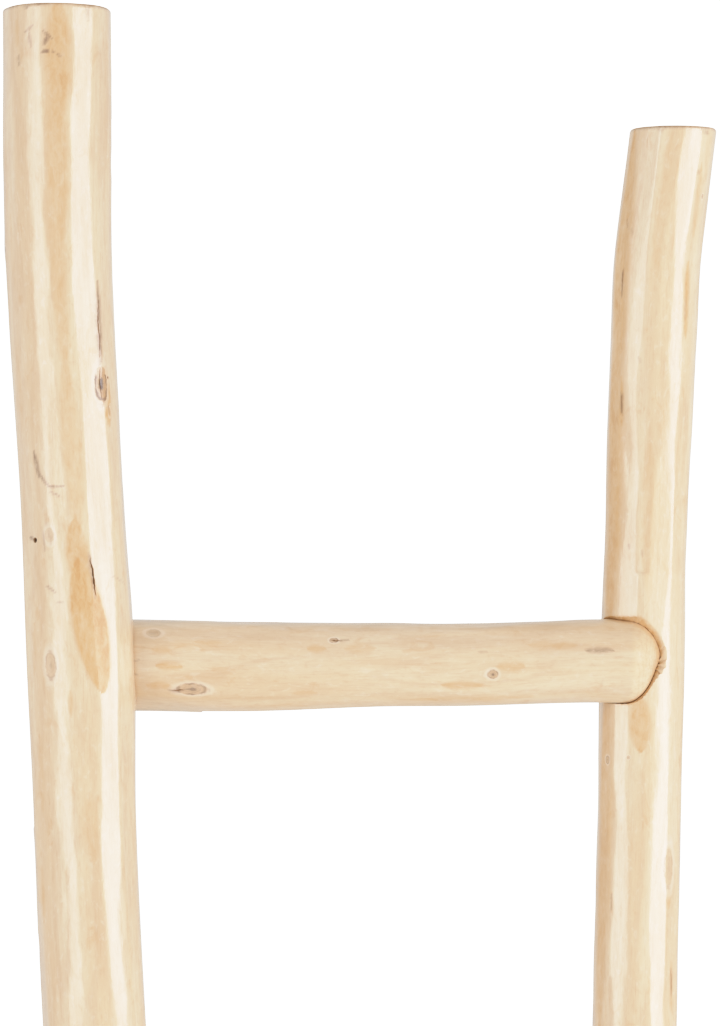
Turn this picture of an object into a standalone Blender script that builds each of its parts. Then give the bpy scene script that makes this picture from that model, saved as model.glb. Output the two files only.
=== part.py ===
"""A rustic blanket ladder: two peeled branches for stiles and five round rungs between them.

Metres, +Z up. The origin is on the floor, midway between the feet. +X runs from the left stile to the
right one, seen from the front, and +Y points at the wall that the ladder leans on.

Each rung's ends are whittled to a blunt nose that beds in a pocket gouged in the stile. The rungs lie
behind the left stile's heart and in front of the right one's, so they brace the two against each other.
A screw from behind holds each end, under a wooden plug, and none of them shows from the front.
"""

import bisect
import math

import bmesh
import bpy
from mathutils import Vector

# Driving dimensions.
HEIGHT = 1.8285  # floor to the top of the left stile
RIGHT_TOP = 1.754  # floor to the top of the right stile
TOP_RUNG = 1.420  # floor to the middle of the top rung
RUNG_PITCH = 0.305
GAP = 0.0003  # between two pieces that touch

# Rings of the branches.
STILE_SIDES, RUNG_SIDES = 20, 18
STILE_STEP, RUNG_STEP = 0.058, 0.040
RIM = 0.0030  # how far the sawn ends' edges are rounded over
ARC = 0.29  # a rounded edge's middle point, as a share of its radius
LOBES = ((2, 0.018), (3, 0.013), (5, 0.006))  # waves round a branch, and each one's share of the radius

# Stiles: (height, x, y, radius) of the branch's heart, from the foot up.
PAD_THICKNESS = 0.005
LEFT_STILE = (
    (PAD_THICKNESS, -0.1760, -0.0010, 0.0345),
    (0.200, -0.1720, -0.0040, 0.0332),
    (0.505, -0.1640, -0.0040, 0.0322),
    (0.810, -0.1595, -0.0070, 0.0320),
    (1.115, -0.1611, -0.0100, 0.0318),
    (1.324, -0.1697, -0.0150, 0.0318),
    (1.423, -0.1730, -0.0160, 0.0338),
    (1.522, -0.1785, -0.0145, 0.0323),
    (1.622, -0.1845, -0.0100, 0.0326),
    (1.720, -0.1884, -0.0040, 0.0334),
    (HEIGHT, -0.1891, 0.0010, 0.0335),
)
RIGHT_STILE = (
    (PAD_THICKNESS, 0.1810, 0.0060, 0.0295),
    (0.200, 0.1780, 0.0095, 0.0287),
    (0.505, 0.1716, 0.0100, 0.0279),
    (0.810, 0.1680, 0.0125, 0.0274),
    (1.115, 0.1706, 0.0130, 0.0269),
    (1.324, 0.1746, 0.0160, 0.0267),
    (1.423, 0.1772, 0.0165, 0.0270),
    (1.522, 0.1798, 0.0150, 0.0267),
    (1.622, 0.1838, 0.0115, 0.0274),
    (1.671, 0.1860, 0.0085, 0.0278),
    (1.721, 0.1919, 0.0060, 0.0277),
    (RIGHT_TOP, 0.1957, 0.0045, 0.0274),
)

# Rungs, from the top: (x, y, height above the rung's nominal height, radius) of each one's heart.
RUNGS = (
    (
        (-0.200, 0.0110, 0.0002, 0.0286),
        (-0.136, 0.0105, 0.0001, 0.0286),
        (-0.062, 0.0080, -0.0011, 0.0281),
        (0.012, 0.0060, -0.0003, 0.0265),
        (0.068, 0.0040, -0.0003, 0.0259),
        (0.143, 0.0015, 0.0025, 0.0261),
        (0.200, 0.0010, 0.0021, 0.0262),
    ),
    (
        (-0.200, 0.0090, 0.0020, 0.0262),
        (-0.070, 0.0110, -0.0015, 0.0258),
        (0.060, 0.0085, -0.0020, 0.0268),
        (0.200, 0.0030, 0.0015, 0.0256),
    ),
    (
        (-0.200, 0.0130, -0.0015, 0.0276),
        (-0.060, 0.0065, 0.0020, 0.0270),
        (0.080, 0.0020, 0.0025, 0.0258),
        (0.200, -0.0005, 0.0000, 0.0254),
    ),
    (
        (-0.200, 0.0120, 0.0010, 0.0258),
        (-0.080, 0.0080, -0.0020, 0.0264),
        (0.070, 0.0055, -0.0010, 0.0270),
        (0.200, 0.0010, 0.0020, 0.0262),
    ),
    (
        (-0.200, 0.0125, 0.0000, 0.0284),
        (-0.050, 0.0105, -0.0030, 0.0276),
        (0.060, 0.0045, -0.0025, 0.0270),
        (0.200, -0.0010, 0.0010, 0.0272),
    ),
)

# Rung ends, as distances from the stile's heart: inwards is positive, past it is negative.
NOSE_FULL, NOSE_TIP = 0.0075, -0.0115  # the barrel keeps its radius as far as FULL, and rounds off by TIP
NOSE_FLATNESS, NOSE_ROUNDNESS = 2.0, 1.45  # exponents of the rounded nose
NOSE_STOPS = (0.995, 0.93, 0.80, 0.62, 0.38)  # where its rings are, from 1 at its tip to 0
POCKET_REACH = 0.060  # a pocket's cutter takes in this much of the rung, on either side of the heart
POCKET_GAP = 0.0004

# Screws, driven from behind, and the plugs over them.
SCREW_HEAD_RADIUS, SCREW_RADIUS = 0.0045, 0.00225
SCREW_LAND, SCREW_HEAD, SCREW_LENGTH, SCREW_POINT = 0.0004, 0.0030, 0.0380, 0.0060
RECESS_DEPTH, RECESS_REACH, RECESS_WIDTH = 0.0014, 0.0022, 0.0008
LEFT_SCREW_IN = 0.006  # how far inside the left stile's heart its screws are
HEAD_DEPTH = 0.0055  # the least depth of a head below the wood
BITE = 0.012  # how far the point goes into the further of the two pieces
PLUG_RADIUS, PLUG_PROUD = 0.0050, 0.0006
PLUG_DOME, PLUG_EDGE = 0.0002, 0.0005
COUNTERBORE = 0.0150  # the plug's hole starts this far outside the wood

# Feet and wall bumpers.
PAD_RADIUS, PAD_CHAMFER = 0.0220, 0.0008
FOOT_SCREW_TOP = 0.0009  # the head sits this far above the floor
BUMPER_RADIUS, BUMPER_HEAD, BUMPER_EDGE = 0.0080, 0.0035, 0.0010
BUMPER_STEM_RADIUS, BUMPER_STEM = 0.0030, 0.0100
BUMPER_SEAT = 0.0008  # depth of the flat that the bumper sits on
BUMPER_BELOW_TOP = 0.028
HARDWARE_SIDES = 10
DISC_SIDES = 16
FROM_BEHIND = (math.radians(90), 0, 0)  # turns +Z to run from the ladder's back towards its front


def clear_scene():
    for old in list(bpy.data.objects):
        bpy.data.objects.remove(old)


def through(stations, along):
    """Values of the smooth curve through the stations, at this place along the branch."""
    last = len(stations) - 1
    i = min(max(bisect.bisect_right([s[0] for s in stations], along) - 1, 0), last - 1)
    before, start = stations[max(i - 1, 0)], stations[i]
    end, after = stations[i + 1], stations[min(i + 2, last)]
    span = end[0] - start[0]
    t = (along - start[0]) / span
    values = []
    for k in range(1, len(start)):
        leave = (end[k] - before[k]) / (end[0] - before[0]) * span
        arrive = (after[k] - start[k]) / (after[0] - start[0]) * span
        values.append(
            start[k] * (2 * t**3 - 3 * t**2 + 1)
            + leave * (t**3 - 2 * t**2 + t)
            + end[k] * (3 * t**2 - 2 * t**3)
            + arrive * (t**3 - t**2)
        )
    return values


def lobed(angle, along, seed):
    """A branch isn't quite round: the radius's factor at this angle, which turns slowly along it."""
    return 1 + sum(
        share * math.cos(waves * angle + seed * waves * waves + (2.1 + seed) * along)
        for waves, share in LOBES
    )


# One seed for each branch, so that no two have the same section.
LEFT_SEED, RIGHT_SEED, RUNG_SEED = 0.7, 2.3, 4.1


def stile_surface(stations, seed, angle, height):
    """Point on the stile at this height, angle 0 towards +X and a quarter turn towards +Y."""
    x, y, radius = through(stations, height)
    radius *= lobed(angle, height, seed)
    return Vector((x + radius * math.cos(angle), y + radius * math.sin(angle), height))


def rung_height(number):
    return TOP_RUNG - RUNG_PITCH * number


def rung_heart(number, x):
    """Centre and barrel radius of a rung at x, whose number is 0 at the top."""
    y, rise, radius = through(RUNGS[number], x)
    return Vector((x, y, rung_height(number) + rise)), radius


def nose_rings(barrel):
    """(distance from the stile's heart, radius) along a rung's nose, from its tip inwards."""
    return [
        (
            NOSE_FULL - t * (NOSE_FULL - NOSE_TIP),
            barrel * (1 - t**NOSE_FLATNESS) ** (1 / NOSE_ROUNDNESS),
        )
        for t in NOSE_STOPS
    ]


def finish_mesh(name, bm, material=None):
    bmesh.ops.recalc_face_normals(bm, faces=bm.faces)
    mesh = bpy.data.meshes.new(name)
    bm.to_mesh(mesh)
    bm.free()
    mesh.shade_smooth()
    mesh.set_sharp_from_angle(angle=math.radians(40))
    if material:
        mesh.materials.append(material)
    return mesh


def loft(name, rings, material=None):
    """Closed mesh through rings of points, with a flat face over each end."""
    bm = bmesh.new()
    loops = [[bm.verts.new(point) for point in ring] for ring in rings]
    for low, high in zip(loops, loops[1:]):
        for i in range(len(low)):
            j = (i + 1) % len(low)
            bm.faces.new((low[i], low[j], high[j], high[i]))
    bm.faces.new(loops[0][::-1])
    bm.faces.new(loops[-1])
    return finish_mesh(name, bm, material)


def turned(name, profile, sides, material=None):
    """Mesh turned about Z from a profile of (height, radius), closed where the radius is 0."""
    bm = bmesh.new()
    loops = []
    for height, radius in profile:
        count = sides if radius > 0 else 1
        turns = (2 * math.pi * i / sides for i in range(count))
        loops.append([bm.verts.new((radius * math.cos(a), radius * math.sin(a), height)) for a in turns])
    for low, high in zip(loops, loops[1:]):
        for i in range(sides):
            j = (i + 1) % sides
            corners = [low[i % len(low)], low[j % len(low)], high[j % len(high)], high[i % len(high)]]
            bm.faces.new(list(dict.fromkeys(corners)))
    return finish_mesh(name, bm, material)


def ringed(name, profile, sides, material=None):
    """Mesh turned about Z from a closed profile of (height, radius) that stays off the axis."""
    bm = bmesh.new()
    loops = []
    for height, radius in profile:
        turns = (2 * math.pi * i / sides for i in range(sides))
        loops.append([bm.verts.new((radius * math.cos(a), radius * math.sin(a), height)) for a in turns])
    for low, high in zip(loops, loops[1:] + loops[:1]):
        for i in range(sides):
            j = (i + 1) % sides
            bm.faces.new((low[i], low[j], high[j], high[i]))
    return finish_mesh(name, bm, material)


def place(name, mesh, parent, location=(0, 0, 0), rotation=(0, 0, 0)):
    piece = bpy.data.objects.new(name, mesh)
    bpy.context.scene.collection.objects.link(piece)
    piece.parent = parent
    piece.location = location
    piece.rotation_euler = rotation
    return piece


def hide(cutter):
    cutter.hide_render = True
    cutter.display_type = "WIRE"
    return cutter


def cut(piece, *cutters):
    for cutter in cutters:
        step = piece.modifiers.new("cut_" + cutter.name, "BOOLEAN")
        step.operation = "DIFFERENCE"
        step.solver = "EXACT"
        step.object = cutter


def material(name, colour, roughness, metallic=0.0):
    made = bpy.data.materials.new(name)
    made.use_nodes = True
    shader = made.node_tree.nodes["Principled BSDF"]
    shader.inputs["Base Color"].default_value = (*colour, 1)
    shader.inputs["Roughness"].default_value = roughness
    shader.inputs["Metallic"].default_value = metallic
    return made


def stile_mesh(name, stations, seed, wood):
    """A branch stood on end, its foot and top sawn level and their edges rounded over."""
    foot, top = stations[0][0], stations[-1][0]
    steps = round((top - foot) / STILE_STEP)
    heights = [foot + RIM + (top - foot - 2 * RIM) * i / steps for i in range(steps + 1)]
    rings = [(foot, RIM), (foot + RIM * ARC, RIM * ARC)]
    rings += [(height, 0) for height in heights]
    rings += [(top - RIM * ARC, RIM * ARC), (top, RIM)]
    points = []
    for height, inset in rings:
        x, y, radius = through(stations, height)
        share = 1 - inset / radius
        heart = Vector((x, y, height))
        turns = [2 * math.pi * i / STILE_SIDES for i in range(STILE_SIDES)]
        points.append([heart.lerp(stile_surface(stations, seed, a, height), share) for a in turns])
    return loft(name, points, wood)


def rung_ring(number, x, radius):
    heart, _ = rung_heart(number, x)
    ring = []
    for i in range(RUNG_SIDES):
        angle = 2 * math.pi * i / RUNG_SIDES
        reach = radius * lobed(angle, x, RUNG_SEED + number)
        ring.append(heart + Vector((0, reach * math.cos(angle), reach * math.sin(angle))))
    return ring


def stile_x(stations, number):
    return through(stations, rung_height(number))[0]


def rung_rings(number):
    """(x, radius) of a rung's rings, from its left tip to its right tip."""
    left, right = stile_x(LEFT_STILE, number), stile_x(RIGHT_STILE, number)
    left_end = nose_rings(rung_heart(number, left)[1])
    right_end = nose_rings(rung_heart(number, right)[1])
    start, stop = left + left_end[-1][0], right - right_end[-1][0]
    steps = round((stop - start) / RUNG_STEP)
    barrel = [start + (stop - start) * i / steps for i in range(1, steps)]
    return (
        [(left + inward, radius) for inward, radius in left_end]
        + [(x, rung_heart(number, x)[1]) for x in barrel]
        + [(right - inward, radius) for inward, radius in reversed(right_end)]
    )


def rung_mesh(number, wood):
    """A rung as one branch, with a whittled nose at each end."""
    rings = [rung_ring(number, x, radius) for x, radius in rung_rings(number)]
    return loft(f"rung_{number + 1}", rings, wood)


def pocket_mesh(number, stations, side):
    """Cutter for the pocket that a rung's end beds in: that end, grown a little all round."""
    heart_x = stile_x(stations, number)
    grown = [
        (x, radius + POCKET_GAP)
        for x, radius in rung_rings(number)
        if abs(x - heart_x) < POCKET_REACH
    ]
    tip_x, tip_radius = grown[0] if side < 0 else grown[-1]
    bottom = (tip_x + side * POCKET_GAP, tip_radius)
    grown = [bottom, *grown] if side < 0 else [*grown, bottom]
    return loft(f"pocket_{number + 1}", [rung_ring(number, x, radius) for x, radius in grown])


def cross_recess_mesh():
    """Cutter for the cross recess in a screw's head, whose face is at height 0."""
    reach, half = RECESS_REACH, RECESS_WIDTH / 2
    arm = [(reach, -half), (reach, half), (half, half)]
    outline = []
    for quarter in range(4):
        turn_x, turn_y = ((1, 0), (0, 1), (-1, 0), (0, -1))[quarter]
        outline += [(a * turn_x - b * turn_y, a * turn_y + b * turn_x) for a, b in arm]
    levels = (-RECESS_DEPTH, RECESS_DEPTH)
    return loft("cross_recess", [[(x, y, z) for x, y in outline] for z in levels])


def screw_mesh(steel):
    """A countersunk wood screw: its head's face at height 0, facing -Z, and its point along +Z."""
    profile = (
        (0, 0),
        (0, SCREW_HEAD_RADIUS),
        (SCREW_LAND, SCREW_HEAD_RADIUS),
        (SCREW_HEAD, SCREW_RADIUS),
        (SCREW_LENGTH - SCREW_POINT, SCREW_RADIUS),
        (SCREW_LENGTH, 0),
    )
    return turned("wood_screw", profile, HARDWARE_SIDES, steel)


def screw_hole_mesh(cover=0.0):
    """Cutter for a screw's hole, in the screw's own frame, and for the plug's, if any, that covers it."""
    head, shank = SCREW_HEAD_RADIUS + GAP, SCREW_RADIUS + GAP
    mouth = [(0, head)]
    if cover:
        bore = PLUG_RADIUS + GAP
        mouth = [(-cover - COUNTERBORE, bore), (-GAP / 2, bore), (0, head)]
    profile = [
        (mouth[0][0], 0),
        *mouth,
        (SCREW_LAND + GAP, head),
        (SCREW_HEAD + GAP, shank),
        (SCREW_LENGTH - SCREW_POINT + GAP, shank),
        (SCREW_LENGTH + 3 * GAP, 0),
    ]
    return turned("screw_hole", profile, HARDWARE_SIDES)


def plug_mesh(wood, cover):
    """A wooden plug over a screw's head, which is at height 0. The wood's surface is at -cover."""
    top, foot = -cover - PLUG_PROUD, -GAP
    profile = (
        (top - PLUG_DOME, 0),
        (top, PLUG_RADIUS - PLUG_EDGE),
        (top + PLUG_EDGE, PLUG_RADIUS),
        (foot - PLUG_EDGE, PLUG_RADIUS),
        (foot, PLUG_RADIUS - PLUG_EDGE),
        (foot, 0),
    )
    return turned("plug", profile, DISC_SIDES, wood)


def pad_mesh(rubber):
    """A round rubber foot with a countersunk hole, its underside on the floor."""
    hole = SCREW_RADIUS + GAP
    seat = SCREW_HEAD_RADIUS + GAP
    top = PAD_THICKNESS - GAP
    profile = (
        (0, seat),
        (0, PAD_RADIUS - PAD_CHAMFER),
        (PAD_CHAMFER, PAD_RADIUS),
        (top, PAD_RADIUS),
        (top, hole),
        (FOOT_SCREW_TOP + SCREW_HEAD + GAP, hole),
        (FOOT_SCREW_TOP + SCREW_LAND + GAP, seat),
    )
    return ringed("foot_pad", profile, DISC_SIDES, rubber)


def bumper_mesh(rubber):
    """A rubber bumper: its seat on the wood is at height 0, and its stem goes in along +Z."""
    profile = (
        (-BUMPER_HEAD, 0),
        (-BUMPER_HEAD, BUMPER_RADIUS - BUMPER_EDGE),
        (-BUMPER_HEAD + BUMPER_EDGE * ARC, BUMPER_RADIUS - BUMPER_EDGE * ARC),
        (-BUMPER_HEAD + BUMPER_EDGE, BUMPER_RADIUS),
        (-GAP, BUMPER_RADIUS),
        (-GAP, BUMPER_STEM_RADIUS),
        (BUMPER_STEM - BUMPER_EDGE, BUMPER_STEM_RADIUS),
        (BUMPER_STEM, BUMPER_STEM_RADIUS - BUMPER_EDGE),
        (BUMPER_STEM, 0),
    )
    return turned("wall_bumper", profile, DISC_SIDES, rubber)


def bumper_hole_mesh():
    """Cutter for a bumper's flat seat in the round branch, and for its stem's hole."""
    clear, hole = BUMPER_RADIUS + GAP, BUMPER_STEM_RADIUS + GAP
    profile = ((-clear, 0), (-clear, clear), (0, clear), (0, hole), (BUMPER_STEM + GAP, hole))
    return turned("bumper_hole", (*profile, (BUMPER_STEM + GAP, 0)), DISC_SIDES)


def screw_place(number, stations, seed, side):
    """Where a rung's screw goes, from behind: its head's centre, and the depth of wood over it.

    On the left it goes through the rung into the stile, and on the right through the stile into the rung.
    """
    x, _, _ = through(stations, rung_height(number))
    x += LEFT_SCREW_IN if side < 0 else 0
    heart, radius = rung_heart(number, x)
    rung_back = heart.y + radius * lobed(0, x, RUNG_SEED + number)
    if side < 0:
        back, joint = rung_back, 2 * heart.y - rung_back
    else:
        back, joint = stile_surface(stations, seed, math.pi / 2, heart.z).y, rung_back
    head = min(back - HEAD_DEPTH, joint + SCREW_LENGTH - BITE)
    return Vector((x, head, heart.z)), back - head


def make_rungs(ladder, wood):
    return [place(f"rung_{n + 1}", rung_mesh(n, wood), ladder) for n in range(len(RUNGS))]


def make_joint(number, stile, rung, end, ladder, meshes):
    """Cuts one rung's pocket and screw hole, and fits the screw and its plug."""
    label, stations, seed, side = end
    pocket = place(f"pocket_{label}_{number + 1}", pocket_mesh(number, stations, side), ladder)
    head, cover = screw_place(number, stations, seed, side)
    hole = place(f"hole_{label}_{number + 1}", screw_hole_mesh(cover), ladder, head, FROM_BEHIND)
    cut(stile, hide(pocket), hide(hole))
    cut(rung, hole)
    recess = place(f"recess_{label}_{number + 1}", meshes["recess"], ladder, head, FROM_BEHIND)
    screw = place(f"rung_{number + 1}_{label}_screw", meshes["screw"], ladder, head, FROM_BEHIND)
    cut(screw, hide(recess))
    plug = plug_mesh(meshes["plug_wood"], cover)
    place(f"rung_{number + 1}_{label}_plug", plug, ladder, head, FROM_BEHIND)


def make_foot(stile, end, ladder, meshes):
    """A rubber pad under the stile and the screw that holds it."""
    label, stations, _, _ = end
    x, y, _ = stations[0][1:]
    place(f"{label}_foot_pad", meshes["pad"], ladder, (x, y, 0))
    head = (x, y, FOOT_SCREW_TOP)
    hole = hide(place(f"hole_{label}_foot", meshes["foot_hole"], ladder, head))
    cut(stile, hole)
    recess = hide(place(f"recess_{label}_foot", meshes["recess"], ladder, head))
    cut(place(f"{label}_foot_screw", meshes["screw"], ladder, head), recess)


def make_bumper(stile, end, ladder, meshes):
    """A rubber bumper pressed into the stile's back, near its top, where it meets the wall."""
    label, stations, seed, _ = end
    height = stations[-1][0] - BUMPER_BELOW_TOP
    back = stile_surface(stations, seed, math.pi / 2, height) - Vector((0, BUMPER_SEAT, 0))
    hole = hide(place(f"hole_{label}_bumper", meshes["bumper_hole"], ladder, back, FROM_BEHIND))
    cut(stile, hole)
    place(f"{label}_wall_bumper", meshes["bumper"], ladder, back, FROM_BEHIND)


def main():
    clear_scene()
    pale_wood = material("peeled_wood", (0.78, 0.60, 0.38), 0.42)
    plug_wood = material("plug_wood", (0.62, 0.43, 0.24), 0.50)
    rubber = material("rubber", (0.10, 0.08, 0.07), 0.75)
    steel = material("zinc_plated_steel", (0.62, 0.60, 0.55), 0.35, 1.0)
    ladder = place("ladder", None, None)
    meshes = {
        "screw": screw_mesh(steel),
        "foot_hole": screw_hole_mesh(),
        "recess": cross_recess_mesh(),
        "plug_wood": plug_wood,
        "pad": pad_mesh(rubber),
        "bumper": bumper_mesh(rubber),
        "bumper_hole": bumper_hole_mesh(),
    }
    rungs = make_rungs(ladder, pale_wood)
    ends = (("left", LEFT_STILE, LEFT_SEED, -1), ("right", RIGHT_STILE, RIGHT_SEED, 1))
    for end in ends:
        label, stations, seed, _ = end
        stile = place(f"{label}_stile", stile_mesh(f"{label}_stile", stations, seed, pale_wood), ladder)
        for number, rung in enumerate(rungs):
            make_joint(number, stile, rung, end, ladder, meshes)
        make_foot(stile, end, ladder, meshes)
        make_bumper(stile, end, ladder, meshes)


main()
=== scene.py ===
"""The rustic blanket ladder's looks: peeled, lacquered branches, their joints and their hardware.

The branches are rebuilt finely over the CAD model's own hearts and radii, with drawknife facets, knots,
cracks and gouged pockets as geometry. One procedural wood reads three attributes that each mesh carries:
grain, the place inside the straightened branch, knot, the place within the nearest knot, and marks,
which holds stain, depth below the skin (painted as shade), end grain and, in its alpha, bruises.
"""

import math

import bmesh
import bpy
import numpy as np
from mathutils import Matrix, Vector


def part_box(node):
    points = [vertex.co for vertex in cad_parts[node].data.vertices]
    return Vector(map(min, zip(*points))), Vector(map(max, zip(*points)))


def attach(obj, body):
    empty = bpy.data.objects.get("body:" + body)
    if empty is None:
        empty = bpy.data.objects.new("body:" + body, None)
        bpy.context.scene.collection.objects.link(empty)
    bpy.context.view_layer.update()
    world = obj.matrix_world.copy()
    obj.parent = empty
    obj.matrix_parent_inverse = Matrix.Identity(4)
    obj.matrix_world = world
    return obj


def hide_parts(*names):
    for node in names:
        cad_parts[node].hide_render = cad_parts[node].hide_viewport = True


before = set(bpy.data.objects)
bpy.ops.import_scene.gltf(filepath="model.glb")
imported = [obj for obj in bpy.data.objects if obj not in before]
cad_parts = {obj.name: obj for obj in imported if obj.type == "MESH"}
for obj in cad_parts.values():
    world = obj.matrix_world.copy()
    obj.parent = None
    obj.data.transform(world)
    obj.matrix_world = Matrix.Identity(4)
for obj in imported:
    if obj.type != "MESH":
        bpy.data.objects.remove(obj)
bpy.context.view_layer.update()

# ---------------------------------------------------------------------------------------------------
# The CAD model's dimensions, in metres.
# ---------------------------------------------------------------------------------------------------

TOP_RUNG, RUNG_PITCH = 1.420, 0.305
GAP = 0.0003
PAD_THICKNESS = 0.005
LOBES = ((2, 0.018), (3, 0.013), (5, 0.006))
LEFT_SEED, RIGHT_SEED, RUNG_SEED = 0.7, 2.3, 4.1

# Stiles: (height, x, y, radius) of the heart. Rungs: (x, y, rise, radius).
LEFT_STILE = (
    (PAD_THICKNESS, -0.1760, -0.0010, 0.0345),
    (0.200, -0.1720, -0.0040, 0.0332),
    (0.505, -0.1640, -0.0040, 0.0322),
    (0.810, -0.1595, -0.0070, 0.0320),
    (1.115, -0.1611, -0.0100, 0.0318),
    (1.324, -0.1697, -0.0150, 0.0318),
    (1.423, -0.1730, -0.0160, 0.0338),
    (1.522, -0.1785, -0.0145, 0.0323),
    (1.622, -0.1845, -0.0100, 0.0326),
    (1.720, -0.1884, -0.0040, 0.0334),
    (1.8285, -0.1891, 0.0010, 0.0335),
)
RIGHT_STILE = (
    (PAD_THICKNESS, 0.1810, 0.0060, 0.0295),
    (0.200, 0.1780, 0.0095, 0.0287),
    (0.505, 0.1716, 0.0100, 0.0279),
    (0.810, 0.1680, 0.0125, 0.0274),
    (1.115, 0.1706, 0.0130, 0.0269),
    (1.324, 0.1746, 0.0160, 0.0267),
    (1.423, 0.1772, 0.0165, 0.0270),
    (1.522, 0.1798, 0.0150, 0.0267),
    (1.622, 0.1838, 0.0115, 0.0274),
    (1.671, 0.1860, 0.0085, 0.0278),
    (1.721, 0.1919, 0.0060, 0.0277),
    (1.754, 0.1957, 0.0045, 0.0274),
)
RUNGS = (
    (
        (-0.200, 0.0110, 0.0002, 0.0286),
        (-0.136, 0.0105, 0.0001, 0.0286),
        (-0.062, 0.0080, -0.0011, 0.0281),
        (0.012, 0.0060, -0.0003, 0.0265),
        (0.068, 0.0040, -0.0003, 0.0259),
        (0.143, 0.0015, 0.0025, 0.0261),
        (0.200, 0.0010, 0.0021, 0.0262),
    ),
    (
        (-0.200, 0.0090, 0.0020, 0.0262),
        (-0.070, 0.0110, -0.0015, 0.0258),
        (0.060, 0.0085, -0.0020, 0.0268),
        (0.200, 0.0030, 0.0015, 0.0256),
    ),
    (
        (-0.200, 0.0130, -0.0015, 0.0276),
        (-0.060, 0.0065, 0.0020, 0.0270),
        (0.080, 0.0020, 0.0025, 0.0258),
        (0.200, -0.0005, 0.0000, 0.0254),
    ),
    (
        (-0.200, 0.0120, 0.0010, 0.0258),
        (-0.080, 0.0080, -0.0020, 0.0264),
        (0.070, 0.0055, -0.0010, 0.0270),
        (0.200, 0.0010, 0.0020, 0.0262),
    ),
    (
        (-0.200, 0.0125, 0.0000, 0.0284),
        (-0.050, 0.0105, -0.0030, 0.0276),
        (0.060, 0.0045, -0.0025, 0.0270),
        (0.200, -0.0010, 0.0010, 0.0272),
    ),
)
NOSE_FULL, NOSE_TIP = 0.0075, -0.0122
NOSE_FLATNESS, NOSE_ROUNDNESS = 2.0, 1.45
POCKET_REACH, POCKET_GAP = 0.060, 0.0001
SCREW_HEAD_RADIUS, SCREW_RADIUS = 0.0045, 0.00225
SCREW_LAND, SCREW_HEAD, SCREW_LENGTH, SCREW_POINT = 0.0004, 0.0030, 0.0380, 0.0060
PLUG_RADIUS = 0.0050
FOOT_SCREW_TOP = 0.0009
BUMPER_HEAD, BUMPER_RADIUS, BUMPER_STEM = 0.0035, 0.0080, 0.0030

# ---------------------------------------------------------------------------------------------------
# How finely the branches are made.
# ---------------------------------------------------------------------------------------------------

STILE_SIDES, RUNG_SIDES = ((112, 104))
FINE, COARSE = ((0.0012, 0.0070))
FINE_FROM = 1.190  # the stiles are finer above this height, where the camera is close
MOUTH_DEPTH = 0.0024  # how deep the gouge marks round a pocket's mouth reach
RIM = 0.0020
CAP_RINGS = 16
SOFT_EDGE = 0.2  # share of a stain's half width where it starts to fade, unless the stain says its own

# Where the gouge went wide of each rung's left and right end: (direction seen from the front, extra).
MOUTHS = (
    ([((-0.2, 0.98), 0.0004)], [((0.75, 0.66), 0.0060), ((0.85, -0.53), 0.0026)]),
    ([((-0.5, -0.87), 0.0012)], [((0.80, -0.60), 0.0024)]),
    ([((-0.6, 0.80), 0.0014)], [((0.40, 0.92), 0.0026)]),
    ([((-0.9, 0.44), 0.0010)], [((0.96, 0.28), 0.0022)]),
    ([((-0.4, -0.92), 0.0013)], [((0.65, 0.76), 0.0020)]),
)


def mm(*values):
    """Millimetres to metres."""
    return values[0] / 1000 if len(values) == 1 else tuple(v / 1000 for v in values)


def smooth(low, high, value):
    t = np.clip((value - low) / (high - low), 0, 1)
    return t * t * (3 - 2 * t)


def through(stations, along):
    """Values of the smooth curve through the stations, at many places along the branch."""
    table = np.array(stations)
    keys, values = table[:, 0], table[:, 1:]
    last = len(keys) - 1
    i = np.clip(np.searchsorted(keys, along, side="right") - 1, 0, last - 1)
    before, after = np.maximum(i - 1, 0), np.minimum(i + 2, last)
    span = keys[i + 1] - keys[i]
    t = ((along - keys[i]) / span)[:, None]
    leave = (values[i + 1] - values[before]) * (span / (keys[i + 1] - keys[before]))[:, None]
    arrive = (values[after] - values[i]) * (span / (keys[after] - keys[i]))[:, None]
    return (
        values[i] * (2 * t**3 - 3 * t**2 + 1)
        + leave * (t**3 - 2 * t**2 + t)
        + values[i + 1] * (3 * t**2 - 2 * t**3)
        + arrive * (t**3 - t**2)
    )


def lobed(angle, along, seed):
    total = np.ones_like(angle)
    for waves, share in LOBES:
        total += share * np.cos(waves * angle + seed * waves * waves + (2.1 + seed) * along)
    return total


def ripple(points, lengths, seed, count=14):
    """Smooth noise of about -1 to 1 as a sum of waves of these lengths along each axis."""
    rng = np.random.default_rng(seed)
    total = np.zeros(len(points))
    for _ in range(count):
        way = rng.normal(size=3)
        way *= rng.uniform(0.6, 1.4) / np.linalg.norm(way)
        total += np.cos(2 * math.pi * (points / np.array(lengths)) @ way + rng.uniform(0, 2 * math.pi))
    return total * math.sqrt(2 / count) * 0.6


def sides_round(count, front):
    """Angles round a branch, closer together at the front."""
    angles = np.linspace(0, 2 * math.pi, count, endpoint=False)
    return angles - 0.42 * np.sin(angles - front)


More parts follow.
